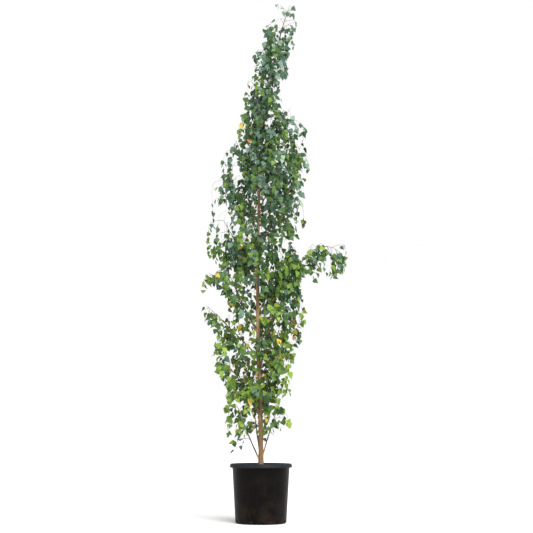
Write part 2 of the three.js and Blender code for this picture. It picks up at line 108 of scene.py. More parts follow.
camera_data = bpy.data.cameras.new("camera")
camera_data.sensor_width = SENSOR_MM
camera_data.lens = FOCAL_PIXELS / FRAME_PIXELS * SENSOR_MM
camera = show("camera", camera_data)
camera.location = CAMERA_PLACE
camera.rotation_euler = (math.pi / 2 + CAMERA_TIP_UP, 0, 0)
bpy.context.scene.camera = camera
print(f"lens of {camera_data.lens:.1f} mm")

# %% [markdown]
# ## Helpers for node trees
# Materials and Geometry Nodes are both trees of nodes. Adding a node, setting it and linking it takes
# three kinds of line, so one helper does all three: a socket is linked, any other value is set, and the
# node's outputs come back. The other helpers are short names for the few nodes that come up again.

# %% Helpers that place nodes
GEOMETRY = "NodeSocketGeometry"
FLOAT = "NodeSocketFloat"
INTEGER = "NodeSocketInt"
VECTOR = "NodeSocketVector"
MATERIAL = "NodeSocketMaterial"
COLLECTION = "NodeSocketCollection"
WHOLE = (0.0, 1.0)
SPECKLE_DETAIL = 3.0


def place(tree, kind, inputs=None, **settings):
    made = tree.nodes.new(kind)
    for name, value in settings.items():
        setattr(made, name, value)
    for name, value in (inputs or {}).items():
        if isinstance(value, bpy.types.NodeSocket):
            tree.links.new(value, made.inputs[name])
        else:
            made.inputs[name].default_value = value
    return made.outputs


def new_tree(name, kind, inputs, outputs):
    """An empty node group with named sockets, and the two ends that they show at inside it."""
    tree = bpy.data.node_groups.new(name, kind)
    for in_out, sockets in (("INPUT", inputs), ("OUTPUT", outputs)):
        for label, socket in sockets.items():
            tree.interface.new_socket(label, in_out=in_out, socket_type=socket)
    return tree, tree.nodes.new("NodeGroupInput").outputs, tree.nodes.new("NodeGroupOutput").inputs


def use_group(tree, group, **inputs):
    return place(tree, "ShaderNodeGroup", inputs, node_tree=group)


def maths(tree, operation, *values):
    return place(tree, "ShaderNodeMath", dict(enumerate(values)), operation=operation)[0]


def scaled(tree, where, sizes):
    return place(tree, "ShaderNodeVectorMath", {0: where, 1: sizes}, operation="MULTIPLY")[0]


def split(tree, vector):
    return place(tree, "ShaderNodeSeparateXYZ", {0: vector})


def blend(tree, share, first, second):
    """A colour between two others."""
    return place(tree, "ShaderNodeMix", {0: share, 6: first, 7: second}, data_type="RGBA")[2]


def between(tree, value, source=WHOLE, target=WHOLE):
    """Carries a value from one range to another, and no further."""
    limits = dict(enumerate((*source, *target), start=1))
    return place(tree, "ShaderNodeMapRange", {"Value": value, **limits})[0]


def speckle(tree, where, scale, detail=SPECKLE_DETAIL):
    return place(tree, "ShaderNodeTexNoise", {"Vector": where, "Scale": scale, "Detail": detail})["Fac"]


print("node helpers ready")

# %% Helpers for materials


def srgb(red, green, blue):
    """A colour as a picture shows it, from 0 to 255, turned into the linear values that shaders use."""
    shares = np.array([red, green, blue]) / 255
    linear = np.where(shares <= 0.04045, shares / 12.92, ((shares + 0.055) / 1.055) ** 2.4)
    return (*linear.tolist(), 1.0)


def new_finish(name):
    """A material with its nodes: the shader and the Object coordinates that every pattern reads."""
    material = bpy.data.materials.new(name)
    material.use_nodes = True
    tree = material.node_tree
    return material, tree, tree.nodes["Principled BSDF"], place(tree, "ShaderNodeTexCoord")["Object"]


def read(tree, name):
    """An attribute that the mesh keeps at its points."""
    return place(tree, "ShaderNodeAttribute", attribute_name=name)["Fac"]


def dress(tree, shader, colour, roughness, height, relief):
    """Links what a finish has worked out to its shader. Relief is how strong and how deep the bump is."""
    sizes = dict(zip(("Strength", "Distance"), relief))
    bumped = place(tree, "ShaderNodeBump", {"Height": height, **sizes})["Normal"]
    for socket, value in (("Base Color", colour), ("Roughness", roughness), ("Normal", bumped)):
        tree.links.new(value, shader.inputs[socket])


print("material helpers ready")

# %% Helpers that turn node trees into plain meshes


def triangle_count(mesh):
    mesh.calc_loop_triangles()
    return len(mesh.loop_triangles)


def set_attribute(mesh, name, kind, values):
    field = "vector" if kind == "FLOAT_VECTOR" else "value"
    made = mesh.attributes.new(name, kind, "POINT")
    made.data.foreach_set(field, np.ravel(values))


def close_tree(tree, geometry, finish, end):
    """The last nodes of a Geometry Nodes tree: real geometry instead of instances, in its material."""
    real = place(tree, "GeometryNodeRealizeInstances", {"Geometry": geometry})[0]
    finished = place(tree, "GeometryNodeSetMaterial", {"Geometry": real, "Material": finish})[0]
    tree.links.new(finished, end)
    print(f"{tree.name}: {len(tree.nodes)} nodes")


def frozen(carrier):
    """The plain mesh that an object's modifiers make. The object itself goes."""
    graph = bpy.context.evaluated_depsgraph_get()
    mesh = bpy.data.meshes.new_from_object(carrier.evaluated_get(graph), depsgraph=graph)
    bpy.data.objects.remove(carrier)
    return mesh


def settle(name, mesh, tree, sizes):
    """Runs a node tree on a mesh that carries its points, and shows the outcome as a plain piece."""
    carrier = show(name + "_carrier", mesh)
    modifier = carrier.modifiers.new("grow", "NODES")
    modifier.node_group = tree
    for socket in tree.interface.items_tree:
        if socket.in_out == "INPUT" and socket.name in sizes:
            modifier[socket.identifier] = sizes[socket.name]
    made = frozen(carrier)
    made.name = name
    print(f"{name}: {triangle_count(made)} triangles")
    return show(name, made)


print("mesh helpers ready")

# %% [markdown]
# ## How the tree grows
# The trunk runs up in a slight bow and its leader leans over to the right. Boughs leave it in a spiral,
# each about 137 degrees round from the last, as leaf buds do, and a few single boughs make the outline
# that this tree has and no other. Drawing each limb by hand would take days, so a rule grows them from
# a few sizes: the same rule, with the same numbers, that gave the frame its solids.

# %% The trunk's line and thickness
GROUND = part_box("trunk")[0].z
TRUNK_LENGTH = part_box("trunk")[1].z - GROUND
LEADER_LENGTH = 3.3
TRUNK_RADIUS = 0.0165
LEADER_TIP_RADIUS = 0.0018
FLARE = 0.008
FLARE_HEIGHT = 0.024
BOW = 0.024
BOW_FROM = 0.22
BOW_TO = 2.32
LEAN = 0.205
LEAN_FROM = 2.02
SWAY = 0.012
UP = np.array([0.0, 0.0, 1.0])


def mix(first, second, share):
    return first + (second - first) * share


def above_soil(points):
    return points[..., 2] - GROUND


def trunk_points(heights):
    """Points on the trunk's line at these heights above the soil."""
    heights = np.asarray(heights, float)
    bowed = np.clip((heights - BOW_FROM) / (BOW_TO - BOW_FROM), 0, 1)
    leaned = np.maximum(0, (heights - LEAN_FROM) / (LEADER_LENGTH - LEAN_FROM))
    x = LEAN * leaned**2 - BOW * np.sin(np.pi * bowed)
    y = SWAY * (1 - np.cos(2 * np.pi * heights / LEADER_LENGTH))
    return np.stack([x, y, heights + GROUND], axis=-1)


def trunk_radius(heights):
    taper = mix(TRUNK_RADIUS, LEADER_TIP_RADIUS, heights / LEADER_LENGTH)
    return taper + FLARE * np.exp(-heights / FLARE_HEIGHT)


def off_trunk(points):
    """The way to points from the trunk's line at their height."""
    return points - trunk_points(above_soil(points))


print(f"the trunk is {TRUNK_LENGTH:.2f} m long and {2 * TRUNK_RADIUS * 1000:.0f} mm thick")

# %% The crown's outline and the plan of the boughs
GOLDEN_ANGLE = math.radians(137.508)
SPIRAL_COUNT = 18
SPIRAL_FROM = 0.33
SPIRAL_TO = 2.82
SPIRAL_START = math.radians(20)
LOW_RISE = 0.52
HIGH_RISE = 0.33
SPIRAL_ARCH = 0.38
TIP_SHARE = 0.68
WIDEST_SHARE = 0.8
SPREAD_SHARE = 0.6
SPREAD_RANGE = (0.14, 0.19)
BARE_LIMIT = 1.9
BARE_SHARE = 0.24
SINGLE_SPREAD = 0.126

# Height above the soil, and the crown's reach to the left and to the right there
CROWN = np.array([
    (0.20, 0.210, 0.170), (0.60, 0.260, 0.225), (1.10, 0.390, 0.340), (1.60, 0.385, 0.335),
    (2.10, 0.330, 0.380), (2.42, 0.230, 0.370), (2.75, 0.165, 0.210), (3.30, 0.120, 0.095),
])

# Height, bearing in degrees (0 is right and 90 is back), reach, rise, arch and bare share
SINGLE_LIMBS = {
    "foot_left": (0.026, 186, 0.165, 0.40, 0.42, 0.32),
    "foot_back": (0.034, 112, 0.135, 0.43, 0.42, 0.32),
    "foot_right": (0.030, -18, 0.135, 0.39, 0.60, 0.34),
    "low_front": (0.290, 258, 0.130, 0.35, 0.45, 0.20),
    "low_left": (0.350, 196, 0.290, 0.40, 0.70, 0.26),
    "low_right": (0.590, -16, 0.255, 0.46, 0.50, 0.24),
    "middle_left": (0.750, 172, 0.370, 0.37, 0.52, 0.30),
    "upper_left": (0.930, 160, 0.380, 0.43, 0.80, 0.34),
    "long_right": (0.660, 4, 0.615, 0.80, 1.42, 0.42),
    "middle_right": (1.010, -26, 0.275, 0.46, 0.50, 0.24),
    "shoulder_left": (1.330, 190, 0.280, 0.43, 0.45, 0.24),
    "shoulder_right": (1.750, 4, 0.290, 0.52, 0.48, 0.20),
    "crest_left": (1.900, 172, 0.190, 0.41, 0.45, 0.20),
}


@dataclass
class Plan:
    """Where a bough leaves the trunk, and how far it goes."""

    name: str
    height: float
    bearing: float
    reach: float
    rise: float
    arch: float
    bare: float
    spread: float


def read_off(table, key):
    """What a table's other columns say at a value of its first one."""
    return [np.interp(key, table[:, 0], column) for column in table.T[1:]]


def crown_reach(height, bearing):
    left, right = read_off(CROWN, height)
    return mix(left, right, (1 + math.cos(bearing)) / 2)


def spiral_plan(order):
    share = order / (SPIRAL_COUNT - 1)
    height = mix(SPIRAL_FROM, SPIRAL_TO, share)
    bearing = SPIRAL_START + order * GOLDEN_ANGLE
    rise = mix(LOW_RISE, HIGH_RISE, share)
    outline = crown_reach(height + WIDEST_SHARE * rise, bearing)
    bare = BARE_SHARE if height < BARE_LIMIT else 0.0
    spread = float(np.clip(outline * SPREAD_SHARE, *SPREAD_RANGE))
    name = f"spiral_{order + 1:02d}"
    return Plan(name, height, bearing, outline * TIP_SHARE, rise, SPIRAL_ARCH, bare, spread)


def single_plan(name, sizes):
    height, degrees, reach, rise, arch, bare = sizes
    return Plan(name, height, math.radians(degrees), reach, rise, arch, bare, SINGLE_SPREAD)


plans = [single_plan(name, sizes) for name, sizes in SINGLE_LIMBS.items()]
plans += [spiral_plan(order) for order in range(SPIRAL_COUNT)]
print(f"{len(plans)} boughs planned")

# %% Grow the boughs and the stems that go on from them
LIMB_RADIUS_SHARE = 0.32
LIMB_LEAST_RADIUS = 0.0038
LIMB_TIP_RADIUS = 0.0021
LIMB_SWEEP = 0.8
KNEE_SWEEP = 0.3
LIMB_STEP = 0.006
LIMB_SAMPLES = 160
FEWEST_LIMB_POINTS = 4
SUNK_IN = 0.004
COLLAR = 0.0035
COLLAR_LENGTH = 0.02
LEADER_SPREAD = 0.16
LEADER_POINTS = 24
TWIG_SAMPLES = 48


@dataclass
class Shoot:
    """A limb of any age: its points from root to tip, how thick it is at each, and what it grows from."""

    points: np.ndarray
    thickness: np.ndarray
    number: int = 0
    spread: float = 0.0
    parent: "Shoot" = None
    starts_at: float = 0.0
    leafy: bool = False
    leafy_to: float = 0.0
    hue: float = 0.0


def spaced(line, shares):
    """Points at these shares of a line's length."""
    steps = np.linalg.norm(np.diff(line, axis=0), axis=1)
    run = np.concatenate([[0], np.cumsum(steps)])
    return np.stack([np.interp(shares * run[-1], run, line[:, axis]) for axis in range(3)], axis=1)


def length_of(line):
    return float(np.linalg.norm(np.diff(line, axis=0), axis=1).sum())


def bend(root, middle, end, samples=TWIG_SAMPLES):
    """A smooth bend from root to end, drawn towards the middle point."""
    share = np.linspace(0, 1, samples)[:, None]
    line = (1 - share) ** 2 * root + 2 * share * (1 - share) * middle + share**2 * end
    return spaced(line, np.linspace(0, 1, samples))


def level(bearing):
    return np.array([math.cos(bearing), math.sin(bearing), 0])


def grow_limb(plan, number):
    """The bare bough of a limb, if it has one, and its leafy stem. Both sweep over with the trunk."""
    outward = level(plan.bearing)
    root = trunk_points(plan.height)
    lean = trunk_points(plan.height + plan.rise) - root
    sweep = (lean - UP * lean[2]) * LIMB_SWEEP
    knee = root + sweep * KNEE_SWEEP + outward * plan.reach / 2 + UP * plan.rise * plan.arch
    tip = root + sweep + outward * plan.reach + UP * plan.rise
    line = bend(root, knee, tip, LIMB_SAMPLES)
    length = length_of(line)
    thick = max(LIMB_LEAST_RADIUS, trunk_radius(plan.height + FLARE_HEIGHT) * LIMB_RADIUS_SHARE)
    start = (trunk_radius(plan.height) - SUNK_IN) / length

    def stretch(first, last):
        count = max(FEWEST_LIMB_POINTS, round((last - first) * length / LIMB_STEP))
        shares = np.linspace(first, last, count)
        collar = COLLAR * np.exp(-(shares - start) * length / COLLAR_LENGTH)
        thickness = mix(thick, LIMB_TIP_RADIUS, shares) + collar
        return Shoot(spaced(line, shares), thickness, number, plan.spread)

    bough = stretch(start, plan.bare) if plan.bare else None
    return bough, stretch(max(start, plan.bare), 1.0)


def grow_leader(number):
    """The trunk's own last shoot, above its cut tip."""
    heights = np.linspace(TRUNK_LENGTH, LEADER_LENGTH, LEADER_POINTS)
    return Shoot(trunk_points(heights), trunk_radius(heights), number, LEADER_SPREAD)


grown = [grow_limb(plan, order + 1) for order, plan in enumerate(plans)]
boughs = [bough for bough, stem in grown if bough]
stems = [stem for bough, stem in grown] + [grow_leader(len(plans) + 1)]
print(f"{len(boughs)} bare boughs and {len(stems)} stems")

# %% [markdown]
# ## Twigs, sprays and strings
# Twigs leave each stem at a steep angle and droop, and short spurs fill the crown's core along the trunk.
# From both grow fine sprays, thin as wire, and from many twig tips hangs a long string: together they give
# a birch its curtain of leaves. The solids stop at the twigs. A particle system could strew twigs, but it
# knows nothing of the trunk, so here the same rule goes one step further, within the same reach. A twig
# stops where it would run into the trunk.

# %% Grow the twigs
rng = np.random.default_rng(4)
TWIG_SPACING = 0.036
FEWEST_TWIGS = 12
FIRST_TWIG = 0.06
LAST_TWIG = 0.94
TWIG_ANGLE = math.radians(54)
TWIG_TAPER = 0.42
TWIG_VARIATION = 0.2
TWIG_DROOP = 0.3
TWIG_RADII = (0.0016, 0.0008)
TWIG_STEP = 0.016
FEWEST_TWIG_POINTS = 5
LEAST_TWIG = 0.05
TRUNK_ROOM = 0.012
ROOT_ROOM = 0.001
FAR = 1.0


def unit(vectors):
    return vectors / np.linalg.norm(vectors, axis=-1, keepdims=True)


def sideways(direction, turn):
    """A direction at right angles to another one, turned round it."""
    axis = np.cross(UP, direction)
    once = np.cross(axis, level(turn))
    return level(turn) + once + np.cross(axis, once) / (1 + direction[2])


def trunk_gap(points):
    """How far points are from the trunk's bark. Beside the thin leader, nothing is in the way."""
    heights = above_soil(points)
    gap = np.linalg.norm(off_trunk(points)[..., :2], axis=-1) - trunk_radius(heights)
    return np.where(heights > TRUNK_LENGTH, FAR, gap)


def clear_of_trunk(line):
    """The stretch of a line before it turns back towards the trunk and comes too near."""
    gap = trunk_gap(line)
    blocked = np.flatnonzero(gap < np.minimum(TRUNK_ROOM, gap[0] - ROOT_ROOM))
    return line[: blocked[0]] if blocked.size else line


def drooping(root, heading, length, droop):
    tip = root + heading * length
    return bend(root, root + heading * length / 2, tip - UP * droop * length)


def tapered(line, count, radii, **origin):
    """A shoot of so many points along a line, thinner towards its tip."""
    shares = np.linspace(0, 1, count)
    return Shoot(spaced(line, shares), mix(*radii, shares), **origin)


def twig_along(line, **origin):
    count = max(FEWEST_TWIG_POINTS, round(length_of(line) / TWIG_STEP))
    return tapered(line, count, TWIG_RADII, **origin)


def grow_twig(stem, order, count):
    share = mix(FIRST_TWIG, LAST_TWIG, order / (count - 1))
    at = int(share * (len(stem.points) - 2))
    root = stem.points[at]
    along = unit(stem.points[at + 1] - root)
    out = sideways(along, stem.number + order * GOLDEN_ANGLE)
    heading = along * math.cos(TWIG_ANGLE) + out * math.sin(TWIG_ANGLE)
    variation = mix(1 - TWIG_VARIATION, 1 + TWIG_VARIATION, rng.random())
    length = stem.spread * (1 - TWIG_TAPER * share) * variation
    line = clear_of_trunk(drooping(root, heading, length, TWIG_DROOP))
    if length_of(line) < LEAST_TWIG:
        return None
    return twig_along(line, parent=stem, starts_at=at / (len(stem.points) - 1))


twigs = []
for stem in stems:
    count = max(FEWEST_TWIGS, round(length_of(stem.points) / TWIG_SPACING))
    twigs += [twig for order in range(count) if (twig := grow_twig(stem, order, count))]
print(f"{len(twigs)} twigs")

# %% Short spurs on the trunk
SPUR_COUNT = 96
SPUR_FROM = 0.34
SPUR_TO = 3.06
SPUR_LENGTH = (0.07, 0.15)
SPUR_ANGLE = math.radians(58)
SPUR_DROOP = 0.35
SPUR_ROOT_SHARE = 0.8


def grow_spur(order):
    height = mix(SPUR_FROM, SPUR_TO, order / (SPUR_COUNT - 1))
    outward = level(SPIRAL_START + order * GOLDEN_ANGLE)
    heading = outward * math.sin(SPUR_ANGLE) + UP * math.cos(SPUR_ANGLE)
    length = mix(*SPUR_LENGTH, rng.random())
    root = trunk_points(height) + outward * trunk_radius(height) * SPUR_ROOT_SHARE
    return twig_along(drooping(root, heading, length, SPUR_DROOP))


twigs += [grow_spur(order) for order in range(SPUR_COUNT)]
print(f"{SPUR_COUNT} spurs on the trunk")

# %% Fine sprays along twigs and stems
SPRAY_SPACING = 0.030
SPRAY_OFFSET = 0.75
FEWEST_SPRAYS = 2
SPRAY_LENGTH = (0.05, 0.115)
SPRAY_ANGLE = math.radians(48)
SPRAY_SCATTER = 0.18
SPRAY_TAPER = 0.35
SPRAY_DROOP = 0.6
SPRAY_ARCH = 0.4
DRAWN_IN = 0.7
HANGING_FROM = 0.97
HANGING_TO = 1.62
HANGING_LENGTHENING = 0.5
HANGING_DROOP = 0.95
SPRAY_RADII = (0.0007, 0.0004)
SPRAY_POINTS = 7
SPRAY_SAMPLES = 24
TINY = 1e-6


def side_of(order):
    """Buds stand on alternate sides."""
    return 1 if order % 2 else -1


def grow_spray(twig, share, side):
    last = len(twig.points) - 1
    at = min(int(share * last), last - 1)
    root = mix(twig.points[at], twig.points[at + 1], share * last - at)
    along = unit(twig.points[at + 1] - twig.points[at])
    across = unit(np.cross(along, UP) + TINY)
    heading = along * math.cos(SPRAY_ANGLE) + side * across * math.sin(SPRAY_ANGLE)
    heading = unit(heading + rng.normal(0, SPRAY_SCATTER, 3))
    hanging = np.clip((above_soil(root) - HANGING_FROM) / (HANGING_TO - HANGING_FROM), 0, 1)
    length = mix(*SPRAY_LENGTH, rng.random()) * (1 - SPRAY_TAPER * share)
    length *= 1 + HANGING_LENGTHENING * hanging
    droop = mix(SPRAY_DROOP, HANGING_DROOP, hanging)
    end = root + heading * length * (1 - droop * DRAWN_IN) - UP * droop * length
    line = bend(root, root + heading * length * SPRAY_ARCH, end, SPRAY_SAMPLES)
    return tapered(line, SPRAY_POINTS, SPRAY_RADII, parent=twig, starts_at=share)


def sprays_of(shoot):
    count = max(FEWEST_SPRAYS, round(length_of(shoot.points) / SPRAY_SPACING))
    return [grow_spray(shoot, (order + SPRAY_OFFSET) / count, side_of(order)) for order in range(count)]


sprays = [spray for shoot in twigs + stems for spray in sprays_of(shoot)]
print(f"{len(sprays)} sprays")

# %% Long strings from the tips of twigs
STRING_CHANCE = 0.55
STRINGS_FROM = 1.20
STRINGS_TO = 2.75
STRING_LENGTH = (0.12, 0.28)
STRING_SWING = 0.22
STRING_POINTS = 12

# Limbs whose every twig ends in a string, and how long their strings are
CURTAINS = {
    "crest_left": (0.20, 0.46),
    "shoulder_left": (0.12, 0.30),
    "shoulder_right": (0.12, 0.30),
    "long_right": (0.08, 0.22),
    "low_left": (0.06, 0.18),
    "foot_left": (0.06, 0.16),
    "foot_right": (0.08, 0.20),
    "middle_left": (0.08, 0.20),
    "upper_left": (0.05, 0.12),
    "middle_right": (0.12, 0.30),
    "low_right": (0.10, 0.24),
    "spiral_06": (0.10, 0.24),
    "spiral_09": (0.12, 0.30),
    "spiral_10": (0.15, 0.40),
    "spiral_11": (0.20, 0.50),
    "spiral_14": (0.12, 0.30),
    "spiral_15": (0.06, 0.15),
    "spiral_18": (0.06, 0.16),
}
curtains = {order + 1: CURTAINS[plan.name] for order, plan in enumerate(plans) if plan.name in CURTAINS}


def curtain_of(twig):
    """How long the strings of a twig's limb are, if that limb has a curtain."""
    return curtains.get(twig.parent.number) if twig.parent else None


def carries_string(twig):
    in_zone = STRINGS_FROM < above_soil(twig.points[-1]) < STRINGS_TO
    return curtain_of(twig) or (in_zone and rng.random() < STRING_CHANCE)


def grow_string(twig):
    """A long thin shoot that hangs straight down from a twig's tip."""
    root = twig.points[-1]
    ahead = unit(root - twig.points[-2])
    length = mix(*(curtain_of(twig) or STRING_LENGTH), rng.random())
    line = bend(root, root + ahead * length * STRING_SWING, root - UP * length, SPRAY_SAMPLES)
    return tapered(line, STRING_POINTS, SPRAY_RADII, parent=twig, starts_at=1.0)


strings = [grow_string(twig) for twig in twigs if carries_string(twig)]
sprays += strings
print(f"{len(strings)} strings")

# %% [markdown]
# ## Where the leaves hang
# Leaves sit one after another along stems, twigs and sprays, on alternate sides, and hang with their tips
# down. Each faces partly outwards, towards the light, and partly any way it likes. Leaves could be strewn
# evenly, but a real crown is clumped and has an edge of its own. So one short table says how long leaves
# are, and a few more, read off the photograph, say how wide the crown is, where sky and trunk show through
# it and how full it is. It is thinned by whole shoots first, and each shoot is then cut back to its last
# leaf.

# %% The crown's edge, its gaps and its fullness
BOX_LOW, BOX_HIGH = (np.array(corner) for corner in cad_box)
PROUD = 0.006
LEAF_TRUNK_ROOM = 0.006
LOWEST_LEAF = 0.036

# Height above the soil, and the least and greatest length of a blade there
LEAF_LENGTHS = np.array([
    (0.0, 0.040, 0.062), (1.0, 0.039, 0.060), (1.5, 0.037, 0.057), (3.3, 0.035, 0.054),
])

# Height above the soil, and how far left and right of the pot's axis the leaves go there
CROWN_EDGE = np.array([
    (0.04, -0.22, 0.03), (0.16, -0.25, 0.06), (0.20, -0.26, 0.22), (0.26, -0.30, 0.235),
    (0.42, -0.30, 0.235), (0.46, -0.26, 0.205), (0.54, -0.26, 0.205), (0.60, -0.31, 0.22),
    (0.67, -0.34, 0.23), (0.72, -0.39, 0.235), (0.82, -0.40, 0.265), (0.88, -0.40, 0.325),
    (0.98, -0.40, 0.33), (1.17, -0.45, 0.32), (1.26, -0.43, 0.45), (1.32, -0.44, 0.625),
    (1.56, -0.38, 0.625), (1.62, -0.38, 0.32), (1.92, -0.36, 0.30), (2.10, -0.34, 0.36),
    (2.23, -0.29, 0.355), (2.27, -0.175, 0.35), (2.36, -0.16, 0.34), (2.57, -0.13, 0.27),
    (2.74, -0.115, 0.20), (2.92, -0.08, 0.205), (3.00, 0.00, 0.245), (3.11, 0.02, 0.262),
    (3.32, 0.03, 0.27),
])

# Across, height above the soil, half width and half height of each gap that shows sky
SKY_GAPS = (
    (0.34, 1.577, 0.11, 0.05), (-0.355, 1.205, 0.060, 0.055), (-0.285, 1.105, 0.060, 0.085),
    (0.335, 1.245, 0.065, 0.085), (-0.263, 1.705, 0.045, 0.11), (0.17, 2.652, 0.05, 0.08),
    (0.23, 2.570, 0.06, 0.07), (-0.42, 1.422, 0.04, 0.045), (-0.26, 0.442, 0.04, 0.045),
    (-0.186, 2.110, 0.026, 0.13), (-0.31, 2.052, 0.03, 0.06), (0.14, 0.212, 0.04, 0.04),
    (0.115, 3.230, 0.040, 0.045), (0.19, 3.172, 0.028, 0.028), (0.18, 3.272, 0.027, 0.040),
    (0.00, 3.040, 0.035, 0.045), (0.53, 1.500, 0.045, 0.025), (0.476, 1.415, 0.03, 0.05),
    (-0.068, 0.115, 0.046, 0.115), (0.058, 0.115, 0.034, 0.115), (-0.365, 0.885, 0.055, 0.07),
)

# Height above the soil, and the share of leaves that the crown keeps there
FULLNESS = np.array([
    (0.06, 0.12), (0.28, 0.09), (0.38, 0.09), (0.44, 0.50), (0.49, 1.00), (0.55, 1.00),
    (0.60, 0.32), (0.70, 0.42), (0.84, 0.36), (0.96, 0.18), (1.04, 0.27), (1.12, 0.15),
    (1.22, 0.25), (1.32, 0.33), (1.50, 0.36), (1.58, 0.13), (1.68, 0.12), (1.85, 0.13),
    (2.10, 0.18), (2.20, 0.36), (2.36, 0.40), (2.44, 0.17), (2.62, 0.18), (2.75, 0.26),
    (2.85, 0.27), (2.98, 0.34), (3.10, 0.42), (3.15, 0.12), (3.20, 0.10), (3.26, 0.70),
])

# Heights above the soil between which the trunk shows through the leaves in front of it
TRUNK_GLIMPSES = ((0.02, 0.44), (0.84, 1.18), (1.58, 1.90))
GLIMPSE_HALF_WIDTH = 0.014


def in_sky_gap(point):
    return any(
        ((point[0] - across) / half_wide) ** 2 + ((above_soil(point) - height) / half_high) ** 2 < 1
        for across, height, half_wide, half_high in SKY_GAPS
    )


def hides_trunk(point):
    """Whether a leaf here would hide a stretch of trunk that shows from the front."""
    showing = any(low < above_soil(point) < high for low, high in TRUNK_GLIMPSES)
    return showing and abs(off_trunk(point)[0]) < GLIMPSE_HALF_WIDTH and point[1] < 0


def fullness_at(point):
    return read_off(FULLNESS, above_soil(point))[0]


print(f"{len(SKY_GAPS)} gaps and {len(TRUNK_GLIMPSES)} glimpses of the trunk")

# %% Plan the leaves of a shoot
STALK = 0.34
LEAF_DOWN = 0.9
LEAF_OUT = 0.25
LEAF_ASIDE = 0.45
LEAF_SCATTER = 0.3
FACE_OUT = 0.5
FACE_UP = 0.3
FACE_SCATTER = 0.65
TIP_LEAF_SHARE = 0.8
FEWEST_LEAVES = 2


@dataclass
class Leaf:
    """Where a leaf starts, which way its tip and its upper side point, and how long and old it is."""

    root: np.ndarray
    hang: np.ndarray
    face: np.ndarray
    size: float
    age: float
    shoot: Shoot


def leaf_on(point, along, side, age, shoot):
    """A leaf at a point of a shoot, on one side of it. Age is 0 at the shoot's tip and 1 at its root."""
    outward = off_trunk(point)
    outward = outward / max(np.linalg.norm(outward), TINY)
    across = unit(np.cross(along, UP) + TINY)
    leaning = outward * LEAF_OUT + across * side * LEAF_ASIDE - UP * LEAF_DOWN
    hang = unit(leaning + rng.normal(0, LEAF_SCATTER, 3))
    face = unit(outward * FACE_OUT + UP * FACE_UP + rng.normal(0, FACE_SCATTER, 3))
    lengths = read_off(LEAF_LENGTHS, above_soil(point))
    size = mix(*lengths, rng.random()) * mix(TIP_LEAF_SHARE, 1.0, age)
    return Leaf(point, hang, face, size, age, shoot)


def leaves_along(shoot, spacing, first):
    count = max(FEWEST_LEAVES, round(length_of(shoot.points) * (1 - first) / spacing))
    shares = np.linspace(first, 1, count)
    points = spaced(shoot.points, shares)
    ahead = unit(np.gradient(shoot.points, axis=0))
    along = ahead[np.minimum((shares * (len(ahead) - 1)).astype(int), len(ahead) - 1)]
    return [leaf_on(points[i], along[i], side_of(i), 1 - shares[i], shoot) for i in range(count)]


def leaf_fits(leaf):
    """Whether a leaf is within the crown's edge, and out of the gaps."""
    middle = leaf.root + leaf.hang * leaf.size * (STALK + 0.5)
    tip = leaf.root + leaf.hang * leaf.size * (STALK + 1)
    left, right = read_off(CROWN_EDGE, above_soil(tip))
    inside = np.all(tip > BOX_LOW - PROUD) and np.all(tip < BOX_HIGH + PROUD) and left < tip[0] < right
    open_air = in_sky_gap(middle) or hides_trunk(middle) or above_soil(tip) < LOWEST_LEAF
    return inside and not open_air and trunk_gap(middle) > LEAF_TRUNK_ROOM


print(f"blades of {LEAF_LENGTHS[:, 1].min() * 100:.1f} to {LEAF_LENGTHS[:, 2].max() * 100:.1f} cm")

# %% Choose which shoots and leaves the crown keeps
LEAST_LEAFY = 0.4
LONGEST_BREAK = 3
CLUMPING = 0.6
OUTER_HALF = 0.5

# How far apart leaves are, and the share of the shoot below its first leaf
leaf_rhythm = ((stems, 0.017, 0.08), (twigs, 0.017, 0.15), (sprays, 0.013, 0.25))


def unbroken(planned):
    """The leaves of a shoot that fit, as far as the first gap that it runs through."""
    fitting, missed = [], 0
    for leaf in planned:
        if leaf_fits(leaf):
            fitting.append(leaf)
            missed = 0
        else:
            missed += 1
        if missed > LONGEST_BREAK:
            break
    return fitting


def may_be_leafy(shoot, luck):
    """Thins the crown by whole shoots, but no spur or curtain. A twig's outer half does as the twig."""
    is_spur = not shoot.parent and not shoot.number
    if is_spur or curtain_of(shoot):
        return True
    if shoot.parent and not shoot.parent.number and shoot.starts_at > OUTER_HALF:
        return shoot.parent.leafy
    return luck < fullness_at(shoot.points[len(shoot.points) // 2]) ** CLUMPING


def leaf_stays(leaf):
    """Thins a leafy shoot leaf by leaf."""
    return rng.random() < fullness_at(leaf.root) ** (1 - CLUMPING)


leaves = []
for group, spacing, first in leaf_rhythm:
    for shoot in group:
        luck, shoot.hue = rng.random(2)
        planned = leaves_along(shoot, spacing, first)
        fitting = unbroken(planned)
        shoot.leafy = may_be_leafy(shoot, luck) and len(fitting) > LEAST_LEAFY * len(planned)
        if shoot.leafy:
            leaves += [leaf for leaf in fitting if leaf_stays(leaf)]
print(f"{len(leaves)} leaves")

# %% Cut every shoot back to its last leaf
END_TAPER = 0.65
END_SHARPNESS = 3


def cut_back(shoot):
    count = max(FEWEST_LIMB_POINTS, round(shoot.leafy_to * len(shoot.points)))
    kept = np.linspace(0, shoot.leafy_to, count)
    own = np.linspace(0, 1, len(shoot.points))
    taper = 1 - END_TAPER * (kept / shoot.leafy_to) ** END_SHARPNESS
    return Shoot(spaced(shoot.points, kept), np.interp(kept, own, shoot.thickness) * taper)


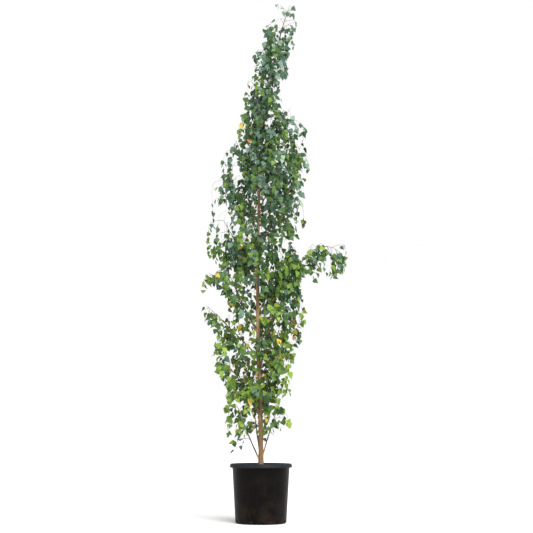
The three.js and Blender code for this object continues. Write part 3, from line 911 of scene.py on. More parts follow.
for leaf in leaves:
    leaf.shoot.leafy_to = max(leaf.shoot.leafy_to, 1 - leaf.age)
for shoot in reversed(stems + twigs + sprays):
    if shoot.parent and shoot.leafy_to:
        shoot.parent.leafy_to = max(shoot.parent.leafy_to, shoot.starts_at)
stems, twigs, sprays = (
    [cut_back(shoot) for shoot in group if shoot.leafy_to] for group in (stems, twigs, sprays)
)
print(f"{len(sprays)} sprays and {len(twigs)} twigs carry leaves")

# %% [markdown]
# ## A skin for every limb
# Trunk, boughs, twigs and sprays are all round limbs along a line. A curve with a bevel would give plain
# tubes without bark, so one Geometry Nodes tree skins them all: it sweeps a ring along each line, as thick
# as the line says at each point, and raises bark on it. Birch bark has fine upright ridges, and dark dashes
# across it, the lenticels that it breathes by. Both are noise, drawn long one way or the other. The tree
# also stores the dashes, so the material can darken the same ones that the mesh raises.

# %% The node tree that skins a limb
RIDGE_FINENESS = (150.0, 150.0, 9.0)
DASH_FINENESS = (75.0, 75.0, 300.0)
DASH_RANGE = (0.62, 0.7)
RELIEF_DETAIL = 2.0

skin, given, skinned = new_tree(
    "Skin a limb",
    "GeometryNodeTree",
    {"Lines": GEOMETRY, "Sides": INTEGER, "Ridge depth": FLOAT, "Dash depth": FLOAT, "Finish": MATERIAL},
    {"Skin": GEOMETRY},
)


def bark_noise(fineness):
    position = place(skin, "GeometryNodeInputPosition")[0]
    return speckle(skin, scaled(skin, position, fineness), 1.0, RELIEF_DETAIL)


line = place(skin, "GeometryNodeMeshToCurve", {"Mesh": given["Lines"]})[0]
ring = place(skin, "GeometryNodeCurvePrimitiveCircle", {"Resolution": given["Sides"], "Radius": 1.0})[0]
thick = place(skin, "GeometryNodeInputNamedAttribute", {"Name": "thickness"})[0]
sweep = {"Curve": line, "Profile Curve": ring, "Scale": thick, "Fill Caps": True}
swept = place(skin, "GeometryNodeCurveToMesh", sweep)[0]
ridge = bark_noise(RIDGE_FINENESS)
dash = between(skin, bark_noise(DASH_FINENESS), DASH_RANGE)
kept_dash = {"Geometry": swept, "Name": "dash", "Value": dash}
marked = place(skin, "GeometryNodeStoreNamedAttribute", kept_dash)[0]
ridge_height = maths(skin, "MULTIPLY", ridge, given["Ridge depth"])
dash_height = maths(skin, "MULTIPLY", dash, given["Dash depth"])
raised = maths(skin, "ADD", ridge_height, dash_height)
outward = place(skin, "GeometryNodeInputNormal")[0]
offset = place(skin, "ShaderNodeVectorMath", {0: outward, "Scale": raised}, operation="SCALE")[0]
relief = place(skin, "GeometryNodeSetPosition", {"Geometry": marked, "Offset": offset})[0]
smooth = place(skin, "GeometryNodeSetShadeSmooth", {"Geometry": relief})[0]
close_tree(skin, smooth, given["Finish"], skinned["Skin"])

# %% [markdown]
# ## Bark
# This birch is too young to be white. Its trunk is a coppery tan, with darker streaks that run up it and
# dark dashes across, while boughs and twigs are a dark purplish brown with pale dots. A photograph of
# bark could be wrapped round, but noise on Object coordinates has no seam and needs no picture. The two
# barks share one effect, long streaks along the trunk, so that is a node group.

# %% The streaks that both barks share
STREAK_DETAIL = 5.0
STREAK_RANGE = (0.36, 0.66)
GRAIN_FINENESS = 900.0

streaks, streak_in, streak_out = new_tree(
    "Bark streaks",
    "ShaderNodeTree",
    {"Where": VECTOR, "Fineness": FLOAT, "Lengthening": FLOAT},
    {"Streak": FLOAT, "Grain": FLOAT},
)
parts = split(streaks, streak_in["Where"])
upright = maths(streaks, "DIVIDE", parts["Z"], streak_in["Lengthening"])
drawn_out = place(streaks, "ShaderNodeCombineXYZ", {"X": parts["X"], "Y": parts["Y"], "Z": upright})[0]
broad = speckle(streaks, drawn_out, streak_in["Fineness"], STREAK_DETAIL)
streaks.links.new(between(streaks, broad, STREAK_RANGE), streak_out["Streak"])
streaks.links.new(speckle(streaks, streak_in["Where"], GRAIN_FINENESS), streak_out["Grain"])
print(f"{streaks.name}: {len(streaks.nodes)} nodes")

# %% The coppery bark of the trunk
COPPER = srgb(191, 155, 105)
PALE_TAN = srgb(217, 189, 143)
DARK_STREAK = srgb(110, 83, 55)
DASH_BROWN = srgb(62, 43, 32)
YOUNG_WOOD = srgb(74, 62, 54)
DARKER_FOOT = (GROUND, GROUND + 0.7)
FOOT_DARKENING = (0.8, 0.0)
YOUNG_TOP = (GROUND + 1.25, GROUND + 2.5)
YOUNG_TOP_DARKNESS = (0.0, 0.9)
PEEL_FINENESS = 16.0
PEEL_RANGE = (0.52, 0.64)
PEEL_PALENESS = (0.0, 0.75)
STREAK_PALENESS = (0.1, 0.92)
DASH_DARKNESS = 0.8
TRUNK_STREAKS = {"Fineness": 70.0, "Lengthening": 14.0}
GRAIN_RANGE = (0.3, 0.7)
TRUNK_ROUGHNESS = (0.55, 0.85)
TRUNK_RELIEF = (0.4, 0.0006)


def trunk_finish():
    material, tree, shader, where = new_finish("tan_bark")
    height = split(tree, where)["Z"]
    bark = use_group(tree, streaks, Where=where, **TRUNK_STREAKS)
    peeled = between(tree, speckle(tree, where, PEEL_FINENESS), PEEL_RANGE, PEEL_PALENESS)
    dashed = maths(tree, "MULTIPLY", read(tree, "dash"), DASH_DARKNESS)
    colour = blend(tree, peeled, COPPER, PALE_TAN)
    colour = blend(tree, between(tree, bark["Streak"], WHOLE, STREAK_PALENESS), DARK_STREAK, colour)
    # The trunk is darker towards its foot.
    colour = blend(tree, between(tree, height, DARKER_FOOT, FOOT_DARKENING), colour, DARK_STREAK)
    colour = blend(tree, between(tree, height, YOUNG_TOP, YOUNG_TOP_DARKNESS), colour, YOUNG_WOOD)
    colour = blend(tree, dashed, colour, DASH_BROWN)
    roughness = between(tree, bark["Grain"], GRAIN_RANGE, TRUNK_ROUGHNESS)
    dress(tree, shader, colour, roughness, bark["Grain"], TRUNK_RELIEF)
    return material


trunk_bark = trunk_finish()
print(trunk_bark.name)

# %% The dark bark of boughs, twigs and sprays
PALE_DOT = srgb(166, 142, 118)
YOUNG_STREAKS = {"Fineness": 120.0, "Lengthening": 6.0}
DOT_FINENESS = 190.0
DOT_RANGE = (0.12, 0.26)
DOT_PALENESS = (0.7, 0.0)
COLLAR_FADE = (0.0, 0.022)
COLLAR_COPPER = (0.85, 0.0)
YOUNG_ROUGHNESS = (0.42, 0.68)
YOUNG_RELIEF = (0.3, 0.0004)


def young_finish(name, dark, pale):
    """A dark bark with pale dots, which takes on the trunk's copper where it meets the trunk."""
    material, tree, shader, where = new_finish(name)
    bark = use_group(tree, streaks, Where=where, **YOUNG_STREAKS)
    dots = place(tree, "ShaderNodeTexVoronoi", {"Vector": where, "Scale": DOT_FINENESS})["Distance"]
    collar = between(tree, read(tree, "from_trunk"), COLLAR_FADE, COLLAR_COPPER)
    colour = blend(tree, bark["Streak"], dark, pale)
    colour = blend(tree, collar, colour, COPPER)
    colour = blend(tree, between(tree, dots, DOT_RANGE, DOT_PALENESS), colour, PALE_DOT)
    roughness = between(tree, bark["Grain"], GRAIN_RANGE, YOUNG_ROUGHNESS)
    dress(tree, shader, colour, roughness, bark["Grain"], YOUNG_RELIEF)
    return material


bough_bark = young_finish("bough_bark", srgb(50, 40, 45), srgb(80, 60, 56))
twig_bark = young_finish("twig_bark", srgb(70, 52, 46), srgb(104, 80, 56))
print(bough_bark.name, twig_bark.name)

# %% Skin the trunk, the boughs and the twigs
TRUNK_STEP = 0.003

# The sides of the ring that is swept, and the depths of ridges and dashes
LIMB_SKINS = {
    "trunk": (36, 0.0016, 0.0006),
    "boughs": (12, 0.0007, 0.0004),
    "stems": (9, 0.0004, 0.0003),
    "twigs": (5, 0.0, 0.0),
    "sprays": (3, 0.0, 0.0),
}


def limb_lines(shoots):
    """All these shoots as one mesh of lines, with their thickness and their distance from the trunk."""
    points = np.concatenate([shoot.points for shoot in shoots])
    edges, first = [], 0
    for shoot in shoots:
        order = np.arange(first, first + len(shoot.points))
        edges.append(np.stack([order[:-1], order[1:]], axis=1))
        first += len(order)
    mesh = bpy.data.meshes.new("lines")
    mesh.from_pydata(points, np.concatenate(edges), [])
    set_attribute(mesh, "thickness", "FLOAT", np.concatenate([shoot.thickness for shoot in shoots]))
    set_attribute(mesh, "from_trunk", "FLOAT", trunk_gap(points))
    return mesh


def skin_limbs(name, shoots, finish):
    sizes = dict(zip(("Sides", "Ridge depth", "Dash depth"), LIMB_SKINS[name]))
    return settle(name, limb_lines(shoots), skin, {**sizes, "Finish": finish})


trunk_heights = np.linspace(0, TRUNK_LENGTH, round(TRUNK_LENGTH / TRUNK_STEP))
trunk_shoot = Shoot(trunk_points(trunk_heights), trunk_radius(trunk_heights))
trunk = skin_limbs("trunk", [trunk_shoot], trunk_bark)
bough_piece = skin_limbs("boughs", boughs, bough_bark)
stem_piece = skin_limbs("stems", stems, bough_bark)
twig_piece = skin_limbs("twigs", twigs, twig_bark)
spray_piece = skin_limbs("sprays", sprays, twig_bark)

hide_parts("trunk")
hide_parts(*bough_nodes)
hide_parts(*foliage_nodes)
for piece in (trunk, bough_piece, stem_piece, twig_piece, spray_piece):
    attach(piece, "root")

# %% [markdown]
# ## The shape of a leaf
# A birch leaf is a triangle with rounded shoulders and a long drawn-out tip, toothed along both edges,
# on a thin stalk. It folds up a little along its midrib and curls back at the tip. A card with a picture
# of a leaf would need alpha, so each leaf is a real mesh of a few dozen faces. Four of them, with
# different folds and curls, are enough for a crown. Each keeps two attributes, how far across and how
# far along the blade a point is, and the veins are drawn from those.

# %% Four leaf meshes
LEAF_ROWS = 11
LEAF_HALF_WIDTH = 0.41
SHOULDER_ROUNDNESS = 0.42
TIP_DRAW = 1.35
TOOTH = 0.07
STALK_RADIUS = 0.014
STALK_SIDES = 3

# How steeply each of the four folds up, and how far its tip curls back as a share of the blade's length
LEAF_POSES = ((0.16, 0.10), (0.28, 0.22), (0.08, 0.30), (0.22, -0.06))


def half_width(along):
    """Half the blade's width: rounded at the shoulder, drawn out at the tip."""
    widest = SHOULDER_ROUNDNESS / (SHOULDER_ROUNDNESS + TIP_DRAW)

    def swell(share):
        return share**SHOULDER_ROUNDNESS * (1 - share) ** TIP_DRAW

    return LEAF_HALF_WIDTH * swell(along) / swell(widest)


def leaf_faces():
    """Faces over the midrib's points, then the left edge's, the right edge's and the stalk's."""
    rows = LEAF_ROWS - 2
    last = LEAF_ROWS - 1
    left, right, stalk = LEAF_ROWS, LEAF_ROWS + rows, LEAF_ROWS + 2 * rows
    faces = [(0, 1, left), (0, right, 1)]
    for row in range(rows - 1):
        faces.append((row + 1, row + 2, left + row + 1, left + row))
        faces.append((row + 1, right + row, right + row + 1, row + 2))
    faces += [(last - 1, last, right - 1), (last - 1, stalk - 1, last)]
    faces += [(stalk + side, stalk + (side + 1) % STALK_SIDES, 0) for side in range(STALK_SIDES)]
    return faces + [tuple(stalk + side for side in reversed(range(STALK_SIDES)))]


def leaf_mesh(name, fold, curl):
    """A blade of length 1 on its stalk, which starts at the origin. +Y is its tip, +Z its upper side."""
    along = np.linspace(0, 1, LEAF_ROWS)
    toothed = half_width(along) * (1 + TOOTH * np.where(np.arange(LEAF_ROWS) % 2, 1, -1))
    sag = -curl * along**2
    rise = sag + fold * toothed
    inner = slice(1, LEAF_ROWS - 1)
    midrib = np.stack([np.zeros(LEAF_ROWS), STALK + along, sag], axis=1)
    left, right = (np.stack([side * toothed, STALK + along, rise], axis=1)[inner] for side in (-1, 1))
    turns = np.arange(STALK_SIDES) * 2 * np.pi / STALK_SIDES
    round_stalk = [STALK_RADIUS * np.cos(turns), np.zeros(STALK_SIDES), STALK_RADIUS * np.sin(turns)]
    stalk = np.stack(round_stalk, axis=1)

    mesh = bpy.data.meshes.new(name)
    mesh.from_pydata(np.concatenate([midrib, left, right, stalk]), [], leaf_faces())
    edge = np.ones(len(left))
    across = np.concatenate([np.zeros(LEAF_ROWS), -edge, edge, np.zeros(STALK_SIDES)])
    lengthwise = np.concatenate([along, along[inner], along[inner], np.zeros(STALK_SIDES)])
    set_attribute(mesh, "across", "FLOAT", across)
    set_attribute(mesh, "along", "FLOAT", lengthwise)
    mesh.shade_smooth()
    return mesh


leaf_shapes = bpy.data.collections.new("leaf_shapes")
scene.collection.children.link(leaf_shapes)
for order, pose in enumerate(LEAF_POSES):
    shape = leaf_mesh(f"leaf_{order}", *pose)
    leaf_shapes.objects.link(bpy.data.objects.new(shape.name, shape))
print(f"{len(leaf_shapes.objects)} leaf shapes of {triangle_count(shape)} triangles")

# %% [markdown]
# ## Leaf tints
# Late in the season most of the crown is still green, and the greens are dealt out to paint light and
# shade: pale bluish green high up is a painted sheen of the sky, deep green inside and in the upper middle
# is painted shade, and fresh yellow-green outside and low down is partly the leaves' own colour and partly
# painted light. Here and there the oldest leaf of a spray has turned yellow or rust. A colour picture over
# the crown could place these tints, but a plain base colour for each kind, dealt out spray by spray, stays
# where it belongs in any file format. Each tint is its own piece with its own material.

# %% Deal a tint to each spray, and let a few old leaves turn
GREENS = ("deep_green", "cool_green", "pale_green", "mid_green", "fresh_green")
TINTS = (*GREENS, "yellow", "rust")
YELLOW, RUST = len(GREENS), len(GREENS) + 1
RUST_SHARE = 0.4
OLD_AGE = 0.5
CROWN_REACH = 0.35
# How far a leaf's reach moves its green: towards the deep green inside as painted shade, towards the fresh
# green outside as painted light.
OUTER_LIGHT_INNER_SHADE = 0.2
HALF_WAY_OUT = 0.5
LUCK_LIMIT = 0.999

# Height above the soil, and the share of old leaves that have turned there
TURNED = np.array([(0.0, 0.16), (0.9, 0.12), (1.2, 0.05), (1.4, 0.015), (2.1, 0.004)])

# High up the pale and cool greens paint a bluish sheen of the sky, and the deep green in the middle paints
# shade.
# Height as a share of the tree's, and there the shares of all greens but the freshest, in their order
GREEN_SHARES = np.array([
    (0.00, 0.28, 0.03, 0.00, 0.44), (0.25, 0.32, 0.06, 0.00, 0.41), (0.35, 0.37, 0.13, 0.00, 0.37),
    (0.50, 0.39, 0.26, 0.02, 0.29), (0.60, 0.42, 0.31, 0.04, 0.21), (0.70, 0.37, 0.35, 0.10, 0.19),
    (0.85, 0.21, 0.44, 0.24, 0.12), (1.00, 0.11, 0.36, 0.44, 0.08),
])


def green_of(leaf):
    """High leaves are cooler and paler as a painted sheen, inner ones deeper as painted shade, outer and
    lower ones fresher, partly as painted light.
    """
    limits = np.cumsum(read_off(GREEN_SHARES, above_soil(leaf.root) / LEADER_LENGTH))
    reach = np.linalg.norm(off_trunk(leaf.root)[:2]) / CROWN_REACH
    luck = leaf.shoot.hue + OUTER_LIGHT_INNER_SHADE * (reach - HALF_WAY_OUT)
    return int(np.searchsorted(limits, np.clip(luck, 0, LUCK_LIMIT)))


def tint_of(leaf):
    turned = leaf.age > OLD_AGE and rng.random() < read_off(TURNED, above_soil(leaf.root))[0]
    autumn = RUST if rng.random() < RUST_SHARE else YELLOW
    return autumn if turned else green_of(leaf)


leaf_tints = [tint_of(leaf) for leaf in leaves]
print({tint: leaf_tints.count(order) for order, tint in enumerate(TINTS)})

# %% The veins that every tint shares
VEIN_PAIRS = 7.0
VEIN_SLANT = 0.45
HALF_A_PAIR = 0.5
MIDRIB_RANGE = (0.02, 0.1)
MIDRIB_STRENGTH = (1.0, 0.0)
SIDE_VEIN_RANGE = (0.02, 0.12)
SIDE_VEIN_STRENGTH = (0.6, 0.0)
EDGE_RANGE = (0.7, 1.0)

veins, vein_in, vein_out = new_tree(
    "Leaf veins",
    "ShaderNodeTree",
    {"Across": FLOAT, "Along": FLOAT},
    {"Vein": FLOAT, "Edge": FLOAT},
)
from_midrib = maths(veins, "ABSOLUTE", vein_in["Across"])
midrib = between(veins, from_midrib, MIDRIB_RANGE, MIDRIB_STRENGTH)
slanted = maths(veins, "SUBTRACT", vein_in["Along"], maths(veins, "MULTIPLY", from_midrib, VEIN_SLANT))
ripple = maths(veins, "PINGPONG", maths(veins, "MULTIPLY", slanted, VEIN_PAIRS), HALF_A_PAIR)
side_veins = between(veins, ripple, SIDE_VEIN_RANGE, SIDE_VEIN_STRENGTH)
veins.links.new(maths(veins, "MAXIMUM", midrib, side_veins), vein_out["Vein"])
veins.links.new(between(veins, from_midrib, EDGE_RANGE), vein_out["Edge"])
print(f"{veins.name}: {len(veins.nodes)} nodes")

# %% One leaf material for each tint
VEIN_PALENESS = 0.3
EDGE_DARKNESS = 0.25
UNDERSIDE_PALENESS = 0.3
PALE_UNDERSIDE = srgb(112, 146, 104)
LEAF_SHINE = 0.15
LEAF_MOTTLE = 60.0
LEAF_ROUGHNESS = (0.36, 0.58)
LEAF_RELIEF = (0.35, 0.0008)

# The darkest and the lightest colour of a blade, and the colour of its veins
LEAF_COLOURS = {
    "deep_green": (srgb(46, 76, 42), srgb(72, 104, 56), srgb(108, 138, 84)),
    "cool_green": (srgb(66, 94, 80), srgb(96, 124, 106), srgb(128, 154, 134)),
    "pale_green": (srgb(110, 136, 118), srgb(144, 166, 146), srgb(164, 184, 162)),
    "mid_green": (srgb(74, 104, 42), srgb(106, 134, 58), srgb(138, 160, 84)),
    "fresh_green": (srgb(106, 138, 48), srgb(144, 168, 66), srgb(172, 188, 100)),
    "yellow": (srgb(190, 156, 50), srgb(218, 188, 78), srgb(166, 140, 58)),
    "rust": (srgb(160, 94, 48), srgb(206, 148, 80), srgb(128, 72, 42)),
}


def leaf_finish(tint):
    darkest, lightest, veined = LEAF_COLOURS[tint]
    material, tree, shader, where = new_finish("leaf_" + tint)
    drawn = use_group(tree, veins, Across=read(tree, "across"), Along=read(tree, "along"))
    behind = place(tree, "ShaderNodeNewGeometry")["Backfacing"]
    colour = blend(tree, read(tree, "shade"), darkest, lightest)
    for mask, strength, other in (
        (drawn["Vein"], VEIN_PALENESS, veined),
        (drawn["Edge"], EDGE_DARKNESS, darkest),
        (behind, UNDERSIDE_PALENESS, PALE_UNDERSIDE),
    ):
        colour = blend(tree, maths(tree, "MULTIPLY", mask, strength), colour, other)
    roughness = between(tree, speckle(tree, where, LEAF_MOTTLE), GRAIN_RANGE, LEAF_ROUGHNESS)
    dress(tree, shader, colour, roughness, drawn["Vein"], LEAF_RELIEF)
    shader.inputs["Specular IOR Level"].default_value = LEAF_SHINE
    return material


leaf_finishes = {tint: leaf_finish(tint) for tint in TINTS}
print(f"{len(leaf_finishes)} leaf materials")

# %% The node tree that hangs leaves
hanging, hook, hung = new_tree(
    "Hang leaves",
    "GeometryNodeTree",
    {"Places": GEOMETRY, "Shapes": COLLECTION, "Finish": MATERIAL},
    {"Leaves": GEOMETRY},
)


def field(name, kind):
    return place(hanging, "GeometryNodeInputNamedAttribute", {"Name": name}, data_type=kind)[0]


def aligned(inputs, **axes):
    return place(hanging, "FunctionNodeAlignRotationToVector", inputs, **axes)[0]


choice = {"Collection": hook["Shapes"], "Separate Children": True, "Reset Children": True}
tip_down = aligned({"Vector": field("hang", "FLOAT_VECTOR")}, axis="Y")
facing = {"Rotation": tip_down, "Vector": field("face", "FLOAT_VECTOR")}
copies = place(
    hanging,
    "GeometryNodeInstanceOnPoints",
    {
        "Points": hook["Places"],
        "Instance": place(hanging, "GeometryNodeCollectionInfo", choice)[0],
        "Pick Instance": True,
        "Instance Index": field("shape", "INT"),
        "Rotation": aligned(facing, axis="Z", pivot_axis="Y"),
        "Scale": field("size", "FLOAT"),
    },
)[0]
close_tree(hanging, copies, hook["Finish"], hung["Leaves"])

# %% Hang the leaves, one piece for each tint


def leaf_places(chosen):
    mesh = bpy.data.meshes.new("places")
    mesh.from_pydata([leaf.root for leaf in chosen], [], [])
    set_attribute(mesh, "hang", "FLOAT_VECTOR", [leaf.hang for leaf in chosen])
    set_attribute(mesh, "face", "FLOAT_VECTOR", [leaf.face for leaf in chosen])
    set_attribute(mesh, "size", "FLOAT", [leaf.size for leaf in chosen])
    set_attribute(mesh, "shape", "INT", rng.integers(0, len(LEAF_POSES), len(chosen)))
    set_attribute(mesh, "shade", "FLOAT", rng.random(len(chosen)))
    return mesh


for order, tint in enumerate(TINTS):
    chosen = [leaf for leaf, own in zip(leaves, leaf_tints) if own == order]
    sizes = {"Shapes": leaf_shapes, "Finish": leaf_finishes[tint]}
    piece = settle("leaves_" + tint, leaf_places(chosen), hanging, sizes)
    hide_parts(*foliage_nodes)
    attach(piece, "root")
for shape in list(leaf_shapes.objects):
    bpy.data.objects.remove(shape)
bpy.data.collections.remove(leaf_shapes)

# %% [markdown]
# ## The pot
# The pot is blown or moulded from black plastic: a tapering wall, a rim folded outwards into a deep
# band, a bevelled foot and drain holes round the bottom edge. It could be modelled face by face, but it
# is a turned shape, so its outline is drawn once, with softened corners, and spun round the axis. The
# drain holes are cut with one Boolean.

# %% The pot's outline
POT_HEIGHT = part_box("pot")[1].z
RIM_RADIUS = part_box("pot")[1].x
RIM_DEPTH = 0.026
RIM_FLARE = 0.005
RIM_ROLL = 0.006
BODY_TOP_RADIUS = 0.195
BODY_FOOT_RADIUS = 0.174
FOOT_BEVEL = 0.009
POT_WALL = 0.005
POT_FLOOR = 0.007
NECK = 0.012
NECK_FLARE = 0.003
UNDERCUT = 0.002
LIP = 0.001
MOUTH_BEVEL = 0.004
CRISP, SOFT, ROUND = 0.002, 0.003, 0.004
CORNER_POINTS = 5


def inner_radius(height):
    return mix(BODY_FOOT_RADIUS, BODY_TOP_RADIUS, height / POT_HEIGHT) - POT_WALL


def softened(corners):
    """A line through corners of (radius, height, softness), each rounded off over its softness."""
    outline = [corners[0][:2]]
    for before, corner, after in zip(corners, corners[1:], corners[2:]):
        middle = np.array(corner[:2])
        ways = [np.array(other[:2]) - middle for other in (before, after)]
        start, end = (middle + way / np.linalg.norm(way) * corner[2] for way in ways)
        for share in np.linspace(0, 1, CORNER_POINTS):
            point = (1 - share) ** 2 * start + 2 * share * (1 - share) * middle + share**2 * end
            outline.append(tuple(point))
    return outline + [corners[-1][:2]]


rim_foot = POT_HEIGHT - RIM_DEPTH
pot_outline = softened([
    (0, 0, 0),
    (BODY_FOOT_RADIUS - FOOT_BEVEL, 0, CRISP),
    (BODY_FOOT_RADIUS, FOOT_BEVEL, SOFT),
    (BODY_TOP_RADIUS, rim_foot - NECK, ROUND),
    (BODY_TOP_RADIUS + NECK_FLARE, rim_foot + UNDERCUT, CRISP),
    (RIM_RADIUS - RIM_ROLL, rim_foot + UNDERCUT, CRISP),
    (RIM_RADIUS - RIM_ROLL, rim_foot - LIP, LIP),
    (RIM_RADIUS, rim_foot, SOFT),
    (RIM_RADIUS - LIP, rim_foot + RIM_ROLL, SOFT),
    (RIM_RADIUS - RIM_FLARE, POT_HEIGHT - UNDERCUT, ROUND),
    (RIM_RADIUS - RIM_FLARE - RIM_ROLL, POT_HEIGHT, SOFT),
    (inner_radius(POT_HEIGHT) + MOUTH_BEVEL, POT_HEIGHT, SOFT),
    (inner_radius(rim_foot), rim_foot, RIM_ROLL),
    (inner_radius(POT_FLOOR), POT_FLOOR, ROUND),
    (0, POT_FLOOR, 0),
])
print(f"the pot's outline has {len(pot_outline)} points")

# %% Spin the pot and cut its drain holes
POT_SEGMENTS = 96
POT_SHARP_ANGLE = math.radians(40)
DRAIN_COUNT = 8
DRAIN_WIDTH = 0.034
DRAIN_HEIGHT = 0.016
DRAIN_DEPTH = 0.03
DRAIN_CORNER = 0.005
DRAIN_CORNER_STEPS = 3


def shaped(shaper, name):
    mesh = bpy.data.meshes.new(name)
    shaper.to_mesh(mesh)
    shaper.free()
    return mesh


def turned_mesh(name, outline, segments):
    """Spins an outline that starts and ends on the axis into a closed shape."""
    shaper = bmesh.new()
    line = [shaper.verts.new((radius, 0, height)) for radius, height in outline]
    edges = [shaper.edges.new(pair) for pair in zip(line, line[1:])]
    turn = {"axis": (0, 0, 1), "cent": (0, 0, 0), "angle": 2 * math.pi}
    bmesh.ops.spin(shaper, geom=line + edges, steps=segments, use_merge=True, **turn)
    bmesh.ops.remove_doubles(shaper, verts=shaper.verts, dist=TINY)
    bmesh.ops.recalc_face_normals(shaper, faces=shaper.faces)
    return shaped(shaper, name)


def drain_cutters():
    shaper = bmesh.new()
    for order in range(DRAIN_COUNT):
        angle = (order + 0.5) / DRAIN_COUNT * 2 * math.pi
        out = Vector((math.cos(angle), math.sin(angle), 0))
        aside = Vector((-math.sin(angle), math.cos(angle), 0))
        made = bmesh.ops.create_cube(shaper, size=1)["verts"]
        bmesh.ops.scale(shaper, vec=(DRAIN_DEPTH, DRAIN_WIDTH, DRAIN_HEIGHT), verts=made)
        bmesh.ops.translate(shaper, vec=(BODY_FOOT_RADIUS, 0, POT_FLOOR + DRAIN_HEIGHT / 2), verts=made)
        for vertex in made:
            vertex.co = out * vertex.co.x + aside * vertex.co.y + Vector((0, 0, vertex.co.z))
    flat = [edge for edge in shaper.edges if abs(edge.verts[0].co.z - edge.verts[1].co.z) < TINY]
    inward = [edge for edge in flat if edge.calc_length() < (DRAIN_DEPTH + DRAIN_WIDTH) / 2]
    rounding = {"offset": DRAIN_CORNER, "segments": DRAIN_CORNER_STEPS, "affect": "EDGES"}
    bmesh.ops.bevel(shaper, geom=inward, **rounding)
    return show("drain_cutters", shaped(shaper, "drain_cutters"))


cutters = drain_cutters()
whole_pot = show("whole_pot", turned_mesh("pot", pot_outline, POT_SEGMENTS))
cut = whole_pot.modifiers.new("drains", "BOOLEAN")
cut.operation = "DIFFERENCE"
cut.object = cutters
pot_mesh = frozen(whole_pot)
bpy.data.objects.remove(cutters)
pot_mesh.shade_smooth()
pot_mesh.set_sharp_from_angle(angle=POT_SHARP_ANGLE)
pot = show("nursery_pot", pot_mesh)
print(f"nursery_pot: {triangle_count(pot_mesh)} triangles")

# %% [markdown]
# ## Black plastic
# The pot is nearly black, brownish on the body and bluer on the rim, which is partly greyed by daylight
# and partly a painted bluish sheen of the sky. Rain and handling leave faint upright streaks of dust and
# fine scuffs, so the gloss changes from place to place. A picture could be wrapped round it, but Object
# coordinates do as well without one: height gives the rim and the dusty foot.

# %% The dust that pot and soil share
DUST_DETAIL = 6.0
DUST_RANGE = (0.45, 0.75)
SCUFF_FINENESS = (120.0, 120.0, 9.0)
SCUFF_DETAIL = 4.0
SCUFF_RANGE = (0.55, 0.7)

dust, dust_in, dust_out = new_tree(
    "Settled dust",
    "ShaderNodeTree",
    {"Where": VECTOR, "Fineness": FLOAT},
    {"Dust": FLOAT, "Scuff": FLOAT},
)
cloud = speckle(dust, dust_in["Where"], dust_in["Fineness"], DUST_DETAIL)
long_marks = speckle(dust, scaled(dust, dust_in["Where"], SCUFF_FINENESS), 1.0, SCUFF_DETAIL)
dust.links.new(between(dust, cloud, DUST_RANGE), dust_out["Dust"])
dust.links.new(between(dust, long_marks, SCUFF_RANGE), dust_out["Scuff"])
print(f"{dust.name}: {len(dust.nodes)} nodes")

# %% The pot's material
BODY_BLACK = srgb(11, 9, 7)
RIM_GREY_AND_SHEEN = srgb(35, 38, 42)
DUST_BROWN = srgb(62, 50, 40)
SCUFF_GREY = srgb(60, 58, 56)
RIM_EDGE = (rim_foot - 0.004, rim_foot + 0.004)
DUSTY_FOOT = (0.0, 0.16)
FOOT_DUST = (0.5, 0.08)
POT_DUST_FINENESS = 14.0
SCUFF_PALENESS = 0.08
SCUFF_DULLNESS = 0.12
POT_ROUGHNESS = (0.36, 0.55)
PLASTIC_SHINE = 0.06
PLASTIC_GRAIN = 420.0
PLASTIC_RELIEF = (0.12, 0.0006)


def pot_finish():
    material, tree, shader, where = new_finish("black_plastic")
    height = split(tree, where)["Z"]
    settled = use_group(tree, dust, Where=where, Fineness=POT_DUST_FINENESS)
    near_foot = between(tree, height, DUSTY_FOOT, FOOT_DUST)
    # The rim is greyer and bluer: partly weathered plastic, partly a painted sheen of the sky.
    colour = blend(tree, between(tree, height, RIM_EDGE), BODY_BLACK, RIM_GREY_AND_SHEEN)
    colour = blend(tree, maths(tree, "MULTIPLY", settled["Dust"], near_foot), colour, DUST_BROWN)
    colour = blend(tree, maths(tree, "MULTIPLY", settled["Scuff"], SCUFF_PALENESS), colour, SCUFF_GREY)
    dusty = between(tree, settled["Dust"], WHOLE, POT_ROUGHNESS)
    roughness = maths(tree, "ADD", dusty, maths(tree, "MULTIPLY", settled["Scuff"], SCUFF_DULLNESS))
    dress(tree, shader, colour, roughness, speckle(tree, where, PLASTIC_GRAIN), PLASTIC_RELIEF)
    shader.inputs["Specular IOR Level"].default_value = PLASTIC_SHINE
    return material


pot_mesh.materials.append(pot_finish())
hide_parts("pot")
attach(pot, "root")
print(f"pot in {pot_mesh.materials[0].name}")

# %% [markdown]
# ## Potting soil
# The soil is a lumpy mix of composted bark and peat. A flat disc with a bump map would look painted from
# above, so the surface is raised with noise and then strewn with crumbs by Geometry Nodes: points dealt
# over the top, a faceted crumb on each, turned and stretched at random.

# %% The body of soil
SOIL_BOTTOM, SOIL_TOP = (corner.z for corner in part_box("soil"))
SOIL_RINGS = 44
SOIL_SEGMENTS = 120
SOIL_LUMPS = 0.004
SOIL_LUMP_FINENESS = 28.0
SURFACE_DEPTH = 1e-4
WALL_GAP = 0.0008
SOIL_PATCHES = 60.0
SOIL_SPECKS = 240.0
SOIL_ROUGHNESS = (0.95, 0.8)
SOIL_GRAIN = 500.0
SOIL_RELIEF = (0.8, 0.002)


